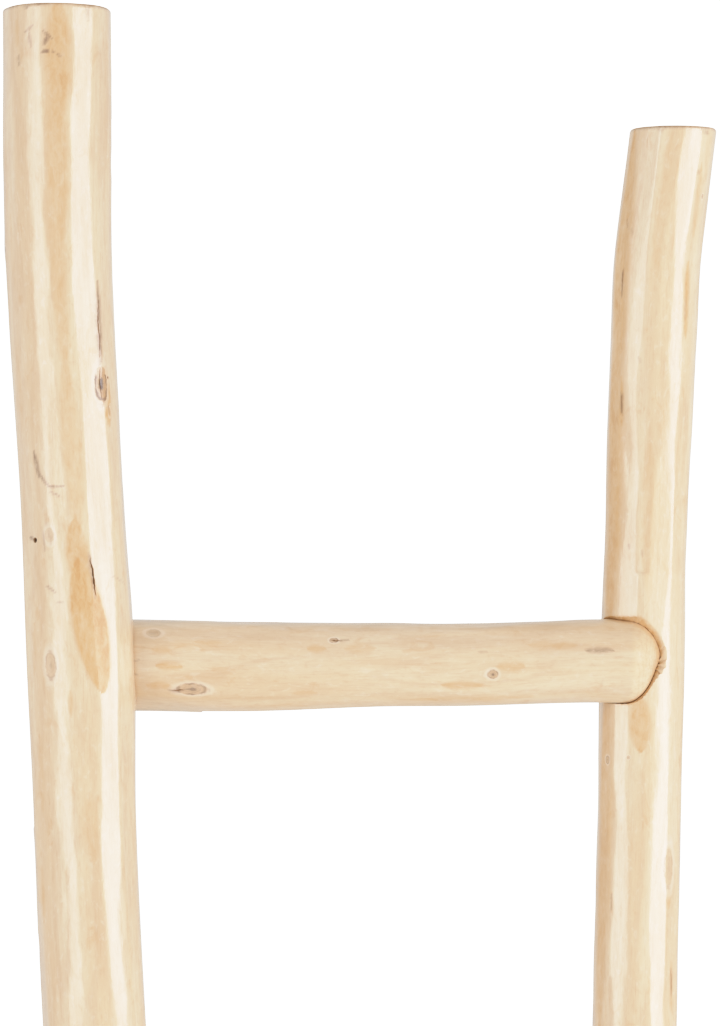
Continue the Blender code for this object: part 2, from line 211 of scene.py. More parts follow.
class Branch:
    """A branch along one axis: its heart, its skin and all the marks on it.

    turn is an angle round the branch in degrees, 0 at the front. It grows to the right on a stile, and
    upwards on a rung. along is the height on a stile, and x on a rung.
    """

    def __init__(self, name, stations, seed, upright, rise=0.0, number=0):
        self.name, self.stations, self.seed = name, stations, seed
        self.upright, self.rise, self.number = upright, rise, number
        self.axis = 2 if upright else 0
        self.across = (0, 1) if upright else (1, 2)
        self.facets, self.knots, self.cracks, self.pits = [], [], [], []
        self.stains, self.bruises = [], []
        self.nose_hearts = None

    def heart(self, along):
        """Across coordinates of the heart, and the radius, at these places."""
        values = through(self.stations, along)
        return values[:, 0], values[:, 1] + self.rise, values[:, 2]

    def angle(self, turn):
        degrees = np.asarray(turn) - 90 if self.upright else 180 - np.asarray(turn)
        return np.radians(degrees)

    def turn(self, angle):
        degrees = np.degrees(angle) + 90 if self.upright else 180 - np.degrees(angle)
        return (degrees + 180) % 360 - 180

    def round_distance(self, angle, turn, radius):
        """Distance round the skin from a mark's turn, signed, growing with turn."""
        away = (self.turn(angle) - turn + 180) % 360 - 180
        return np.radians(away) * radius

    def point(self, angle, along, radius):
        a, b, _ = self.heart(along)
        points = np.empty((len(along), 3))
        points[:, self.axis] = along
        points[:, self.across[0]] = a + radius * np.cos(angle)
        points[:, self.across[1]] = b + radius * np.sin(angle)
        return points

    def local(self, points):
        """(angle, along, radius) of points."""
        along = points[:, self.axis]
        a, b, _ = self.heart(along)
        da, db = points[:, self.across[0]] - a, points[:, self.across[1]] - b
        return np.arctan2(db, da), along, np.hypot(da, db)

    def grain(self, angle, along, radius):
        """The place inside the branch once it is straightened, shifted so that branches differ."""
        shift = self.seed * 3.7
        return np.column_stack(
            (radius * np.cos(angle), radius * np.sin(angle), along + shift)
        )

    def skin(self, angle, along):
        """Radius of the branch's skin, with its facets, swellings and waves but without its cracks."""
        radius = self.heart(along)[2]
        skin = radius * lobed(angle, along, self.seed + self.number)
        place = self.grain(angle, along, radius)
        skin += mm(0.55) * ripple(place, (0.045, 0.045, 0.150), int(self.seed * 10) + self.number)
        skin += mm(0.20) * ripple(place, (0.016, 0.016, 0.052), int(self.seed * 20) + self.number + 50)
        skin += mm(0.045) * ripple(place, (0.005, 0.005, 0.017), int(self.seed * 30) + self.number + 90)
        for turn, centre, half_length, depth in self.facets:
            skin = self.planed(skin, angle, along, turn, centre, half_length, depth)
        for knot in self.knots:
            skin += self.knot_relief(angle, along, radius, knot)
        return skin

    def planed(self, skin, angle, along, turn, centre, half_length, depth):
        """The skin after one long stroke of the drawknife, which leaves a flat with soft edges."""
        away = np.radians((self.turn(angle) - turn + 180) % 360 - 180)
        reach = 1 - ((along - centre) / half_length) ** 2
        near = (np.abs(away) < 1.0) & (reach > -0.2)
        if not near.any():
            return skin
        flat_at = self.heart(along[near])[2] * 1.004 - depth * reach[near]
        flat = flat_at / np.cos(away[near])
        softness = mm(0.10)
        gap = (skin[near] - flat) / softness
        lower = flat + softness * (gap - np.logaddexp(0, gap))
        result = skin.copy()
        result[near] = lower
        return result

    def knot_relief(self, angle, along, radius, knot):
        """A knot stands on a broad swelling, and its own face is a little sunk."""
        turn, centre, half_width, half_length, _, mound = knot
        u = self.round_distance(angle, turn, radius) / half_width
        v = (along - centre) / half_length
        spread = np.exp(-((u / 3.2) ** 2) - (v / 3.0) ** 2)
        face = np.exp(-((u**2 + v**2) ** 1.5))
        return mound * spread - min(mm(0.45), half_width * 0.12) * face


def ring_places(start, stop, fine_from):
    """Places of the rings between two ends, closer together from fine_from on."""
    coarse = np.array([])
    if start < fine_from:
        count = max(round((fine_from - start) / COARSE), 1)
        coarse = np.linspace(start, fine_from, count, endpoint=False)
        start = fine_from
    count = max(round((stop - start) / FINE), 2)
    return np.concatenate((coarse, np.linspace(start, stop, count + 1)))


def grid_mesh(name, rings, poles):
    """Closed mesh from rings of points, (count, sides, 3), and a pole beyond each end."""
    count, sides, _ = rings.shape
    points = np.concatenate((rings.reshape(-1, 3), np.array(poles)))
    k = np.arange(sides)
    quads = []
    for r in range(count - 1):
        low, high = r * sides, (r + 1) * sides
        quads.append(np.column_stack((low + k, low + (k + 1) % sides, high + (k + 1) % sides, high + k)))
    first, last = count * sides, count * sides + 1
    top = (count - 1) * sides
    bottom_fan = [(int((i + 1) % sides), int(i), first) for i in k]
    top_fan = [(int(top + i), int(top + (i + 1) % sides), last) for i in k]
    mesh = bpy.data.meshes.new(name)
    mesh.from_pydata(points.tolist(), [], np.concatenate(quads).tolist() + bottom_fan + top_fan)
    return mesh


def place(name, mesh):
    piece = bpy.data.objects.new(name, mesh)
    bpy.context.scene.collection.objects.link(piece)
    return piece


def stile_rings(branch):
    """(height, inset) of a stile's rings from its foot up, with rounded rims at both ends."""
    foot, top = branch.stations[0][0], branch.stations[-1][0]
    turns = np.radians((0, 18, 36, 54, 72, 90))
    rim = [(RIM * (1 - math.sin(a)), RIM * (1 - math.cos(a))) for a in turns]
    barrel = ring_places(foot + RIM, top - RIM, FINE_FROM)[1:-1]
    return (
        [(foot + up, inset) for up, inset in reversed(rim)]
        + [(height, 0.0) for height in barrel]
        + [(top - down, inset) for down, inset in rim]
    )


def end_face(branch, angles, height, crown):
    """Rings and middle of a sawn end face, from its edge inwards, a little crowned."""
    along = np.full(len(angles), height)
    edge = branch.skin(angles, along) - RIM
    rings = []
    for share in np.linspace(1, 0, CAP_RINGS, endpoint=False)[1:]:
        ring = branch.point(angles, along, edge * share)
        ring[:, 2] += crown * (1 - share**2) + crown * 0.3 * ripple(ring, (0.004, 0.030, 1), 5)
        rings.append(ring)
    middle = branch.point(np.zeros(1), along[:1], np.zeros(1))[0]
    middle[2] += crown
    return rings, middle


def stile_shape(branch):
    """The stile's fine mesh, with rounded rims and sawn end faces."""
    angles = sides_round(STILE_SIDES, -math.pi / 2)
    rings = []
    for height, inset in stile_rings(branch):
        along = np.full(STILE_SIDES, height)
        rings.append(branch.point(angles, along, branch.skin(angles, along) - inset))
    below, foot_middle = end_face(branch, angles, branch.stations[0][0], 0.0)
    above, top_middle = end_face(branch, angles, branch.stations[-1][0], mm(0.3))
    return grid_mesh(branch.name, np.array(below[::-1] + rings + above), (foot_middle, top_middle))


def nose_share(inward):
    """Share of the barrel's radius that a rung keeps at this distance inwards from the stile's heart."""
    t = np.clip((NOSE_FULL - inward) / (NOSE_FULL - NOSE_TIP), 0, 1)
    return (1 - t**NOSE_FLATNESS) ** (1 / NOSE_ROUNDNESS)


def rung_reach(branch, angles, along, grow=0.0):
    """Skin of a rung with its whittled noses, or the skin grown by a gap."""
    left, right = branch.nose_hearts
    slant = mm(2.3) * (np.sin(angles) - 1)
    share = nose_share(along - left + slant) * nose_share(right - along + slant)
    whittled = 1 + 0.05 * (1 - share) * ripple(
        np.column_stack((np.cos(angles), np.sin(angles), along / 0.030)),
        (1.3, 1.3, 0.6),
        77 + branch.number,
    )
    return branch.skin(angles, along) * share * whittled + grow


def rung_places(branch, low, high):
    """Ring places along a rung, closer together on its noses."""
    left, right = branch.nose_hearts
    nose = NOSE_FULL - (NOSE_FULL - NOSE_TIP) * np.cos(np.linspace(0.05, math.pi / 2, 22))
    barrel = np.arange(left + NOSE_FULL, right - NOSE_FULL, FINE if branch.number == 0 else 2 * FINE)[1:]
    places = np.concatenate((left + nose, barrel, (right - nose)[::-1]))
    return places[(places >= low) & (places <= high)]


def rung_shape(branch):
    angles = sides_round(RUNG_SIDES, math.pi)
    left, right = branch.nose_hearts
    rings = []
    for x in rung_places(branch, left - 1, right + 1):
        along = np.full(RUNG_SIDES, x)
        rings.append(branch.point(angles, along, rung_reach(branch, angles, along)))
    tips = [np.array([left + NOSE_TIP]), np.array([right - NOSE_TIP])]
    poles = [branch.point(np.zeros(1), tip, np.zeros(1))[0] for tip in tips]
    return grid_mesh(branch.name, np.array(rings), poles)


# ---------------------------------------------------------------------------------------------------
# Cutters: pockets, holes, cracks and pits.
# ---------------------------------------------------------------------------------------------------


def mouth_width(rung, side, points):
    """How far the gouge went wide of a rung's end, at points round it."""
    from_x = rung.nose_hearts[0 if side < 0 else 1] - side * mm(10)
    away = points[:, ::2] - np.array([from_x, rung.rise])
    away /= np.linalg.norm(away, axis=1, keepdims=True) + 1e-9
    width = np.zeros(len(points))
    for direction, extra in MOUTHS[rung.number][0 if side < 0 else 1]:
        width += extra * smooth(0.0, 1.0, away @ np.array(direction))
    return width * (1 + 0.20 * ripple(points, (0.012, 0.012, 0.012), 31 + rung.number))


def pocket_shape(rung, stile, side):
    """A rung's end, grown by the gap, and by more at the stile's skin, where the gouge went wide of it."""
    angles = sides_round(RUNG_SIDES, math.pi)
    heart = rung.nose_hearts[0 if side < 0 else 1]
    rings = []
    for x in rung_places(rung, heart - POCKET_REACH, heart + POCKET_REACH):
        along = np.full(RUNG_SIDES, x)
        ring = rung.point(angles, along, rung_reach(rung, angles, along, POCKET_GAP))
        rings.append(ring + side * np.array([POCKET_GAP, 0, 0]) * (side * (x - heart) > -NOSE_FULL))
    rings = np.array(rings)
    count = len(rings)
    points = rings.reshape(-1, 3)
    angle, along, radius = stile.local(points)
    depth = stile.skin(angle, along) - radius
    extra = mouth_width(rung, side, points) * np.clip(1 - depth / MOUTH_DEPTH, 0, 1) ** 1.2
    extra += mm(0.15) * np.clip(1 - depth / mm(0.8), 0, 1)
    round_angle, place_along, _ = rung.local(points)
    past = smooth(mm(-16), mm(8), side * (place_along - heart))
    outward = np.column_stack((side * past * 1.3, np.cos(round_angle), np.sin(round_angle)))
    out_of_skin = np.column_stack((np.cos(angle), np.sin(angle), np.zeros(len(angle))))
    outward -= out_of_skin * np.sum(outward * out_of_skin, axis=1)[:, None]
    outward /= np.linalg.norm(outward, axis=1, keepdims=True) + 1e-9
    rings = (points + outward * extra[:, None]).reshape(count, RUNG_SIDES, 3)
    tip = rings[0 if side < 0 else -1].mean(axis=0) + side * np.array([mm(0.3), 0, 0])
    inner = rings[-1 if side < 0 else 0].mean(axis=0)
    poles = (tip, inner) if side < 0 else (inner, tip)
    return grid_mesh("pocket", rings, poles)


def turned(name, profile, sides, place_at, tilt=None):
    """Closed mesh turned about Z from (height, radius) pairs, tilted and moved into place."""
    bm = bmesh.new()
    loops = []
    for height, radius in profile:
        count = sides if radius > 0 else 1
        turns = [2 * math.pi * i / sides for i in range(count)]
        loops.append([bm.verts.new((radius * math.cos(a), radius * math.sin(a), height)) for a in turns])
    for low, high in zip(loops, loops[1:]):
        for i in range(sides):
            j = (i + 1) % sides
            corners = [low[i % len(low)], low[j % len(low)], high[j % len(high)], high[i % len(high)]]
            bm.faces.new(list(dict.fromkeys(corners)))
    bmesh.ops.recalc_face_normals(bm, faces=bm.faces)
    if tilt is not None:
        bmesh.ops.transform(bm, matrix=tilt, verts=bm.verts)
    bmesh.ops.translate(bm, vec=place_at, verts=bm.verts)
    mesh = bpy.data.meshes.new(name)
    bm.to_mesh(mesh)
    bm.free()
    return mesh


def on_skin(branch, turns, along):
    """Points on a branch's skin, and the directions out of it."""
    angles = branch.angle(turns)
    skin = branch.point(angles, along, branch.skin(angles, along))
    raised = branch.point(angles, along, branch.skin(angles, along) + mm(1))
    return skin, (raised - skin) / mm(1)


def crack_shape(branch, path, width, depth, seed):
    """A wedge-shaped slit along a path of (turn, along) on the skin, fading out at both ends."""
    path = np.array(path, dtype=float)
    lengths = np.concatenate(([0], np.cumsum(np.abs(np.diff(path[:, 1])) + mm(0.5))))
    count = max(int(lengths[-1] / mm(1.6)), 8)
    way = np.linspace(0, lengths[-1], count)
    stations = [(length, *point) for length, point in zip(lengths, path)]
    spots = through(stations, way) if len(path) > 2 else np.column_stack(
        [np.interp(way, lengths, path[:, k]) for k in (0, 1)]
    )
    rng = np.random.default_rng(seed)
    turns = spots[:, 0] + np.convolve(rng.normal(0, 0.9, count + 2), np.ones(3) / 3, "valid")
    skin, out = on_skin(branch, turns, spots[:, 1])
    ahead = np.gradient(skin, axis=0)
    beside = np.cross(out, ahead)
    beside /= np.linalg.norm(beside, axis=1, keepdims=True)
    swell = np.sin(np.linspace(0.06, math.pi - 0.06, count))[:, None] ** 0.6
    half = width / 2 * swell * (1 + 0.25 * rng.normal(size=(count, 1)).clip(-1, 1))
    lift = mm(0.5)
    spread = 1 + lift / (depth * swell)
    rings = np.stack(
        (skin + out * lift + beside * half * spread, skin + out * lift - beside * half * spread,
         skin - out * depth * swell),
        axis=1,
    )
    poles = (rings[0].mean(axis=0), rings[-1].mean(axis=0))
    return oriented(grid_mesh("crack", rings, poles))


def pit_shape(branch, turn, along, radius, depth):
    """A round pit, such as a pinhole or a lost knot's eye."""
    skin, out = on_skin(branch, np.array([turn]), np.array([along]))
    lift = mm(0.6)
    profile = [(lift, 0), (lift, radius), (0, radius * 0.96), (-depth * 0.7, radius * 0.62), (-depth, 0)]
    tilt = Vector(out[0]).to_track_quat("Z", "Y").to_matrix().to_4x4()
    return turned("pit", profile, 12, Vector(skin[0]), tilt)


def oriented(mesh):
    """The mesh with its faces pointing out, whichever way its rings ran."""
    bm = bmesh.new()
    bm.from_mesh(mesh)
    bmesh.ops.recalc_face_normals(bm, faces=bm.faces)
    if bm.calc_volume(signed=True) < 0:
        bmesh.ops.reverse_faces(bm, faces=bm.faces)
    bm.to_mesh(mesh)
    bm.free()
    return mesh


def joined(name, meshes):
    bm = bmesh.new()
    for mesh in meshes:
        bm.from_mesh(mesh)
        bpy.data.meshes.remove(mesh)
    joint = bpy.data.meshes.new(name)
    bm.to_mesh(joint)
    bm.free()
    return joint


def carve(piece, *groups):
    """Cuts groups of closed meshes out of a piece, and keeps the result as its mesh."""
    cutters = []
    for number, meshes in enumerate(groups):
        if not meshes:
            continue
        cutter = place(f"{piece.name}_cutter_{number}", joined("cutter", meshes))
        step = piece.modifiers.new(cutter.name, "BOOLEAN")
        step.operation, step.solver, step.object = "DIFFERENCE", "MANIFOLD", cutter
        cutters.append(cutter)
    ready = piece.evaluated_get(bpy.context.evaluated_depsgraph_get())
    carved = bpy.data.meshes.new_from_object(ready)
    piece.modifiers.clear()
    old, piece.data = piece.data, carved
    bpy.data.meshes.remove(old)
    carved.name = piece.name
    for cutter in cutters:
        bpy.data.objects.remove(cutter)
    return piece


# ---------------------------------------------------------------------------------------------------
# The marks on the branches that the photo shows. Each was read off the photo and worked out
# as a place on its branch: its turn is in degrees and its lengths are in millimetres, which these
# functions make metres. Stains and bruises are spindles from start to end, and cracks are paths.
# ---------------------------------------------------------------------------------------------------

def facet(turn, along, half_length, depth):
    return (turn, *mm(along, half_length, depth))


def knot(turn, along, half_width, half_length, darkness, mound=0.4):
    return (turn, *mm(along, half_width, half_length), darkness, mm(mound))


def stain(start, end, half_width, strength, edge=SOFT_EDGE):
    return ((start[0], mm(start[1])), (end[0], mm(end[1])), mm(half_width), strength, edge)


def crack(path, width, depth):
    return ([(turn, mm(along)) for turn, along in path], *mm(width, depth))


def pit(turn, along, radius, depth):
    return (turn, *mm(along, radius, depth))


def mark_left_stile(branch):
    branch.facets += [
        facet(30, 1760, 110, 0.70),
        facet(30, 1640, 120, 0.75),
        facet(5, 1742, 120, 0.45),
        facet(-25, 1730, 120, 0.55),
        facet(-27, 1620, 90, 0.50),
        facet(-52, 1740, 110, 0.50),
        facet(3, 1640, 90, 0.30),
        facet(36, 1530, 90, 1.05),
        facet(14, 1560, 80, 0.35),
        facet(-12, 1540, 80, 0.50),
        facet(-40, 1530, 90, 0.45),
        facet(-66, 1620, 120, 0.60),
        facet(64, 1680, 130, 0.55),
        facet(-25, 1440, 70, 0.45),
        facet(33, 1440, 55, 0.35),
        facet(31, 1330, 110, 0.40),
        facet(30, 1215, 80, 0.45),
        facet(6, 1300, 110, 0.40),
        facet(-25, 1330, 100, 0.50),
        facet(-24, 1200, 80, 0.50),
        facet(-52, 1320, 110, 0.50),
        facet(60, 1330, 120, 0.50),
    ]
    branch.knots += [
        knot(47, 1594, 4.4, 11.5, 0.95, 0.9),
        knot(-23, 1501, 3.2, 5.0, 0.16, 0.5),
        knot(-29, 1422, 3.8, 8.8, 0.34, 0.5),
        knot(58, 1577, 1.0, 3.0, 0.40, 0.1),
    ]
    branch.stains += [
        stain((6, 1832), (7, 1750), 9.5, 0.80, 0.5),
        stain((2, 1815), (8, 1680), 8.5, 0.62, 0.5),
        stain((2, 1760), (6, 1600), 7.0, 0.45, 0.5),
        stain((6, 1610), (10, 1500), 7.0, 0.50, 0.5),
        stain((7, 1512), (14, 1440), 7.0, 0.62, 0.7),
        stain((7, 1487), (28, 1404), 12.0, 1.0, 0.8),
        stain((6, 1511), (9, 1470), 7.5, 0.80, 0.7),
        stain((52, 1606), (56, 1568), 5.0, 1.0, 0.7),
        stain((-45, 1457), (-45, 1449), 2.4, 0.40),
        stain((-51, 1448), (-53, 1414), 2.2, 0.45),
        stain((-7, 1407), (-8, 1390), 1.8, 0.70),
        stain((-50, 1380), (-52, 1330), 3.5, 0.40),
        stain((-58, 1300), (-60, 1262), 3.0, 0.55),
        stain((-44, 1820), (-42, 1802), 3.0, 0.45),
        stain((-60, 1700), (-58, 1560), 4.0, 0.30),
        stain((8, 1345), (12, 1300), 6.0, 0.30),
    ]
    branch.bruises += [
        stain((-12, 1798), (-2, 1798.4), 1.3, 1.0),
        stain((-9, 1802), (-4, 1808), 1.8, 0.95),
        stain((-10, 1811), (0, 1806), 1.3, 0.80),
        stain((-2, 1798.6), (4, 1797.2), 1.0, 0.75),
        stain((4, 1796.8), (11, 1794.8), 1.0, 0.75),
        stain((-27, 1812), (-23, 1800), 1.3, 0.55),
        stain((-32, 1810), (-20, 1815), 1.2, 0.55),
        stain((-41, 1798), (-39, 1789), 1.6, 0.50),
        stain((-30, 1829), (-28, 1825), 3.0, 0.60),
        stain((38, 1829), (40, 1818), 2.2, 0.50),
        stain((48, 1658), (46, 1604), 2.9, 0.80),
        stain((-38, 1553), (-31, 1535), 2.1, 1.0),
        stain((-34, 1540), (-19, 1530), 1.2, 0.95),
        stain((-23, 1530.6), (-2, 1531.2), 1.1, 0.85),
        stain((-21, 1528), (-8, 1525), 0.9, 0.60),
        stain((-32, 1508), (-30, 1491), 1.0, 0.45),
        stain((-26, 1509), (-20, 1493), 0.8, 0.30),
        stain((-32, 1471), (-17, 1465.5), 1.0, 0.65),
        stain((-18, 1460.5), (-8, 1459.5), 0.9, 0.55),
        stain((-56, 1499.8), (-42, 1498), 1.4, 1.0),
        stain((47, 1476), (72, 1470), 0.7, 0.35),
        stain((20, 1492), (24, 1462), 1.6, 0.70),
    ]
    branch.cracks += [
        crack([(48, 1652), (47, 1634), (46, 1610)], 1.0, 0.9),
        crack([(46, 1604), (45, 1594), (47, 1584)], 0.9, 0.9),
        crack([(21, 1487), (23, 1475), (24.5, 1464)], 1.4, 1.3),
    ]
    branch.pits += [pit(-44, 1498, 1.8, 4.0), pit(58, 1598, 0.9, 1.6)]


def mark_right_stile(branch):
    branch.facets += [
        facet(20, 1722, 75, 0.65),
        facet(-34, 1705, 100, 0.50),
        facet(-6, 1700, 100, 0.40),
        facet(11, 1640, 75, 0.55),
        facet(46, 1690, 110, 0.55),
        facet(-61, 1640, 120, 0.60),
        facet(-28, 1620, 80, 0.40),
        facet(18, 1570, 75, 0.50),
        facet(-8, 1565, 80, 0.35),
        facet(-30, 1520, 90, 0.45),
        facet(16, 1500, 60, 0.50),
        facet(51, 1540, 100, 0.55),
        facet(-57, 1500, 90, 0.50),
        facet(19, 1370, 55, 0.40),
        facet(-9, 1383, 45, 0.60),
        facet(24, 1280, 90, 0.45),
        facet(-1, 1290, 90, 0.35),
        facet(-28, 1310, 100, 0.45),
        facet(-57, 1300, 110, 0.50),
        facet(53, 1300, 100, 0.50),
    ]
    branch.knots += [
        knot(42, 1294, 4.2, 13.0, 0.22, 0.5),
        knot(52, 1711, 1.0, 1.6, 0.60, 0.1),
        knot(-53, 1361, 1.8, 2.4, 0.40, 0.1),
        knot(-20, 1363, 1.1, 1.2, 0.45, 0.1),
    ]
    branch.stains += [
        stain((43, 1732), (44, 1684), 3.0, 0.50),
        stain((-56, 1676), (-50, 1622), 3.4, 0.95),
        stain((39, 1672), (42, 1622), 3.2, 0.92),
        stain((-48, 1600), (-46, 1568), 2.8, 0.95),
        stain((-51, 1628), (-50, 1610), 3.0, 0.45),
        stain((43, 1281), (43, 1268), 2.6, 0.90),
        stain((-40, 1280), (-40, 1266), 1.4, 0.50),
        stain((52, 1238), (53, 1204), 2.4, 0.70),
        stain((-64, 1756), (-56, 1585), 10.0, 0.85, 0.4),
        stain((-62, 1640), (-56, 1430), 10.0, 0.82, 0.4),
        stain((-6, 1750), (-4, 1660), 5.5, 0.26),
        stain((-4, 1560), (2, 1460), 6.5, 0.34),
        stain((-8, 1402), (-3, 1366), 8.0, 0.80, 0.5),
        stain((-63, 1400), (-55, 1366), 5.0, 0.50),
        stain((-44, 1356), (-42, 1322), 3.0, 0.45),
        stain((-60, 1470), (-58, 1190), 9.0, 0.70, 0.4),
    ]
    branch.bruises += [
        stain((-57, 1697), (-51, 1690), 1.1, 0.40),
        stain((-45, 1692), (-43, 1686), 1.0, 0.35),
        stain((38, 1728), (39, 1723), 1.0, 0.35),
        stain((-55, 1668), (-53, 1648), 1.4, 0.80),
        stain((-47, 1592), (-46, 1574), 1.2, 0.75),
        stain((39, 1650), (41, 1632), 1.3, 0.35),
        stain((-24, 1612), (-20, 1607), 1.2, 0.25),
        stain((22, 1612), (25, 1605), 1.3, 0.25),
        stain((-28, 1496), (-26, 1492), 1.2, 0.40),
        stain((-9, 1492), (-7, 1487), 1.2, 0.35),
        stain((-40, 1278), (-40, 1268), 0.9, 0.45),
        stain((52, 1234), (53, 1212), 1.2, 0.40),
        stain((-26, 1753), (-16, 1750), 2.0, 0.35),
        stain((34, 1752.5), (51, 1749), 2.0, 0.45),
    ]
    branch.cracks += [
        crack([(-55, 1664), (-54, 1652)], 0.7, 0.6),
        crack([(-47, 1588), (-46, 1577)], 0.7, 0.6),
        crack([(52, 1231), (53, 1214)], 0.8, 0.8),
    ]


def mark_top_rung(branch):
    branch.facets += [
        facet(8, -45, 90, 0.30),
        facet(-24, 40, 100, 0.35),
        facet(36, 70, 100, 0.35),
        facet(44, -70, 80, 0.40),
        facet(-46, -60, 100, 0.40),
        facet(5, 110, 70, 0.25),
    ]
    branch.knots += [
        knot(-29, -104, 4.0, 9.6, 0.70, 0.6),
        knot(38, -16, 1.9, 2.8, 1.00, 0.3),
        knot(-11, 82, 2.8, 3.4, 0.75, 0.6),
        knot(45, -128, 3.2, 4.6, 0.20, 0.2),
    ]
    branch.stains += [
        stain((21, -129), (20, -117), 3.0, 0.55),
        stain((1, -127), (0, -109), 3.4, 0.85),
        stain((-24, -133), (-25, -116), 3.2, 0.75),
        stain((33, -102), (33, -85), 2.2, 0.40),
        stain((26, -33), (26, -21), 3.4, 0.75),
        stain((25, -10), (25, 10), 3.8, 0.45),
        stain((-35, -42), (-35, -26), 2.4, 0.45),
        stain((-1, 84), (-1, 102), 4.2, 0.62),
        stain((-26, 50), (-26, 76), 3.6, 0.66),
        stain((25, 118), (25, 134), 2.8, 0.40),
        stain((28, 104), (28, 120), 2.8, 0.35),
        stain((62, -50), (60, 20), 3.0, 0.35),
        stain((-60, -90), (-56, 10), 3.4, 0.35),
        stain((-52, 30), (-48, 110), 3.0, 0.40),
        stain((60, 60), (56, 150), 4.0, 0.35),
    ]
    branch.bruises += [
        stain((37, -14), (38, -6), 1.0, 0.60),
        stain((17, 138.5), (17, 157), 2.4, 0.72),
        stain((17, 144), (17, 153), 1.6, 0.80),
        stain((20, 72), (21, 79), 0.9, 0.30),
        stain((-31, -119), (-31, -109), 1.4, 0.65),
        stain((45, -134), (46, -124), 1.2, 0.30),
        stain((5, -140), (8, -136), 1.0, 0.45),
        stain((-8, -141), (-12, -137), 1.0, 0.45),
    ]
    branch.cracks += [
        crack([(-30.5, -117), (-31, -108)], 0.8, 0.8),
        crack([(39, -18.5), (37, -11)], 1.0, 1.0),
    ]


def shown(branch, turn, along):
    """Whether the marks above already cover this place."""
    if branch.upright:
        return along > 1.20 and abs(turn) < 80
    return branch.number == 0 and abs(turn) < 80


def scatter(branch, low, high, seed):
    """Marks like those above, at random, where none is stated."""
    rng = np.random.default_rng(seed)
    length = high - low
    for _ in range(round(length / 0.013)):
        turn, along = rng.uniform(-180, 180), rng.uniform(low, high)
        if not shown(branch, turn, along):
            branch.facets.append((turn, along, rng.uniform(0.06, 0.15), mm(rng.uniform(0.3, 0.9))))
    for _ in range(round(length / 0.065)):
        turn, along = rng.uniform(-180, 180), rng.uniform(low, high)
        half, dark = rng.uniform(0.9, 4.2), rng.uniform(0.2, 0.9)
        size = (half, half * rng.uniform(1.2, 2.6))
        if not branch.upright:
            size = size[::-1]
        spaced = all(abs(along - k[1]) > 0.022 + 2.2 * k[3] for k in branch.knots)
        if spaced and not shown(branch, turn, along):
            branch.knots.append((turn, along, *mm(*size), dark, mm(0.15 * half)))
            if rng.random() < 0.5:
                ends = ((turn, along - mm(14)), (turn + 3, along + mm(12)))
                branch.stains.append((*ends, mm(half + 1.5), 0.6, SOFT_EDGE))
    for _ in range(round(length / 0.055)):
        turn, along, run = rng.uniform(-180, 180), rng.uniform(low, high), rng.uniform(0.010, 0.060)
        if not shown(branch, turn, along):
            ends = ((turn, along), (turn + rng.uniform(-6, 6), along + run))
            branch.stains.append((*ends, mm(rng.uniform(1.6, 6.0)), rng.uniform(0.25, 0.75), SOFT_EDGE))
    for _ in range(round(length / 0.16)):
        turn, along, run = rng.uniform(-180, 180), rng.uniform(low, high), rng.uniform(0.010, 0.035)
        if not shown(branch, turn, along) and along + run < high:
            path = [(turn, along), (turn + rng.uniform(-2, 2), along + run)]
            branch.cracks.append((path, mm(rng.uniform(0.5, 1.1)), mm(rng.uniform(0.6, 1.3))))


def make_branches():
    left = Branch("left_stile", LEFT_STILE, LEFT_SEED, True)
    right = Branch("right_stile", RIGHT_STILE, RIGHT_SEED, True)
    mark_left_stile(left)
    mark_right_stile(right)
    for stile, seed in ((left, 11), (right, 12)):
        scatter(stile, stile.stations[0][0] + 0.02, stile.stations[-1][0] - 0.02, seed)
    rungs = []
    for number, stations in enumerate(RUNGS):
        height = TOP_RUNG - RUNG_PITCH * number
        rung = Branch(f"rung_{number + 1}", stations, RUNG_SEED, False, height, number)
        rung.nose_hearts = [through(stile.stations, np.array([height]))[0, 0] for stile in (left, right)]
        if number == 0:
            mark_top_rung(rung)
        scatter(rung, rung.nose_hearts[0] + 0.03, rung.nose_hearts[1] - 0.03, 20 + number)
        rungs.append(rung)
    return left, right, rungs


# ---------------------------------------------------------------------------------------------------
# The attributes that the wood reads.
# ---------------------------------------------------------------------------------------------------


def knot_places(branch, angle, along, radius):
    """(u, v, darkness) within the nearest knot, where the knot's edge is at a distance of 1."""
    places = np.zeros((len(angle), 3))
    places[:, 0] = 3
    nearest = np.full(len(angle), 3.0)
    for turn, centre, half_width, half_length, dark, _ in branch.knots:
        u = branch.round_distance(angle, turn, radius) / half_width
        v = (along - centre) / half_length
        away = np.hypot(u, v)
        closer = away < nearest
        nearest[closer] = away[closer]
        strength = dark * (1 - smooth(1.9, 2.4, away))
        places[closer] = np.column_stack((u, v, strength))[closer]
    return places


def bent_grain(branch, angle, along, radius):
    """The place inside the straightened branch, its lines bent round the knots like water."""
    grain = branch.grain(angle, along, radius)
    across = np.column_stack((-np.sin(angle), np.cos(angle)))
    for turn, centre, half_width, half_length, _, _ in branch.knots:
        du = branch.round_distance(angle, turn, radius)
        if not branch.upright:
            du = -du
        dv = (along - centre) * half_width / half_length * 0.8
        reach = half_width * 1.15
        push = du * reach**2 / (du**2 + dv**2 + (0.6 * reach) ** 2)
        near = np.abs(du) < 12 * reach
        grain[near, :2] -= across[near] * push[near, None]
    return grain


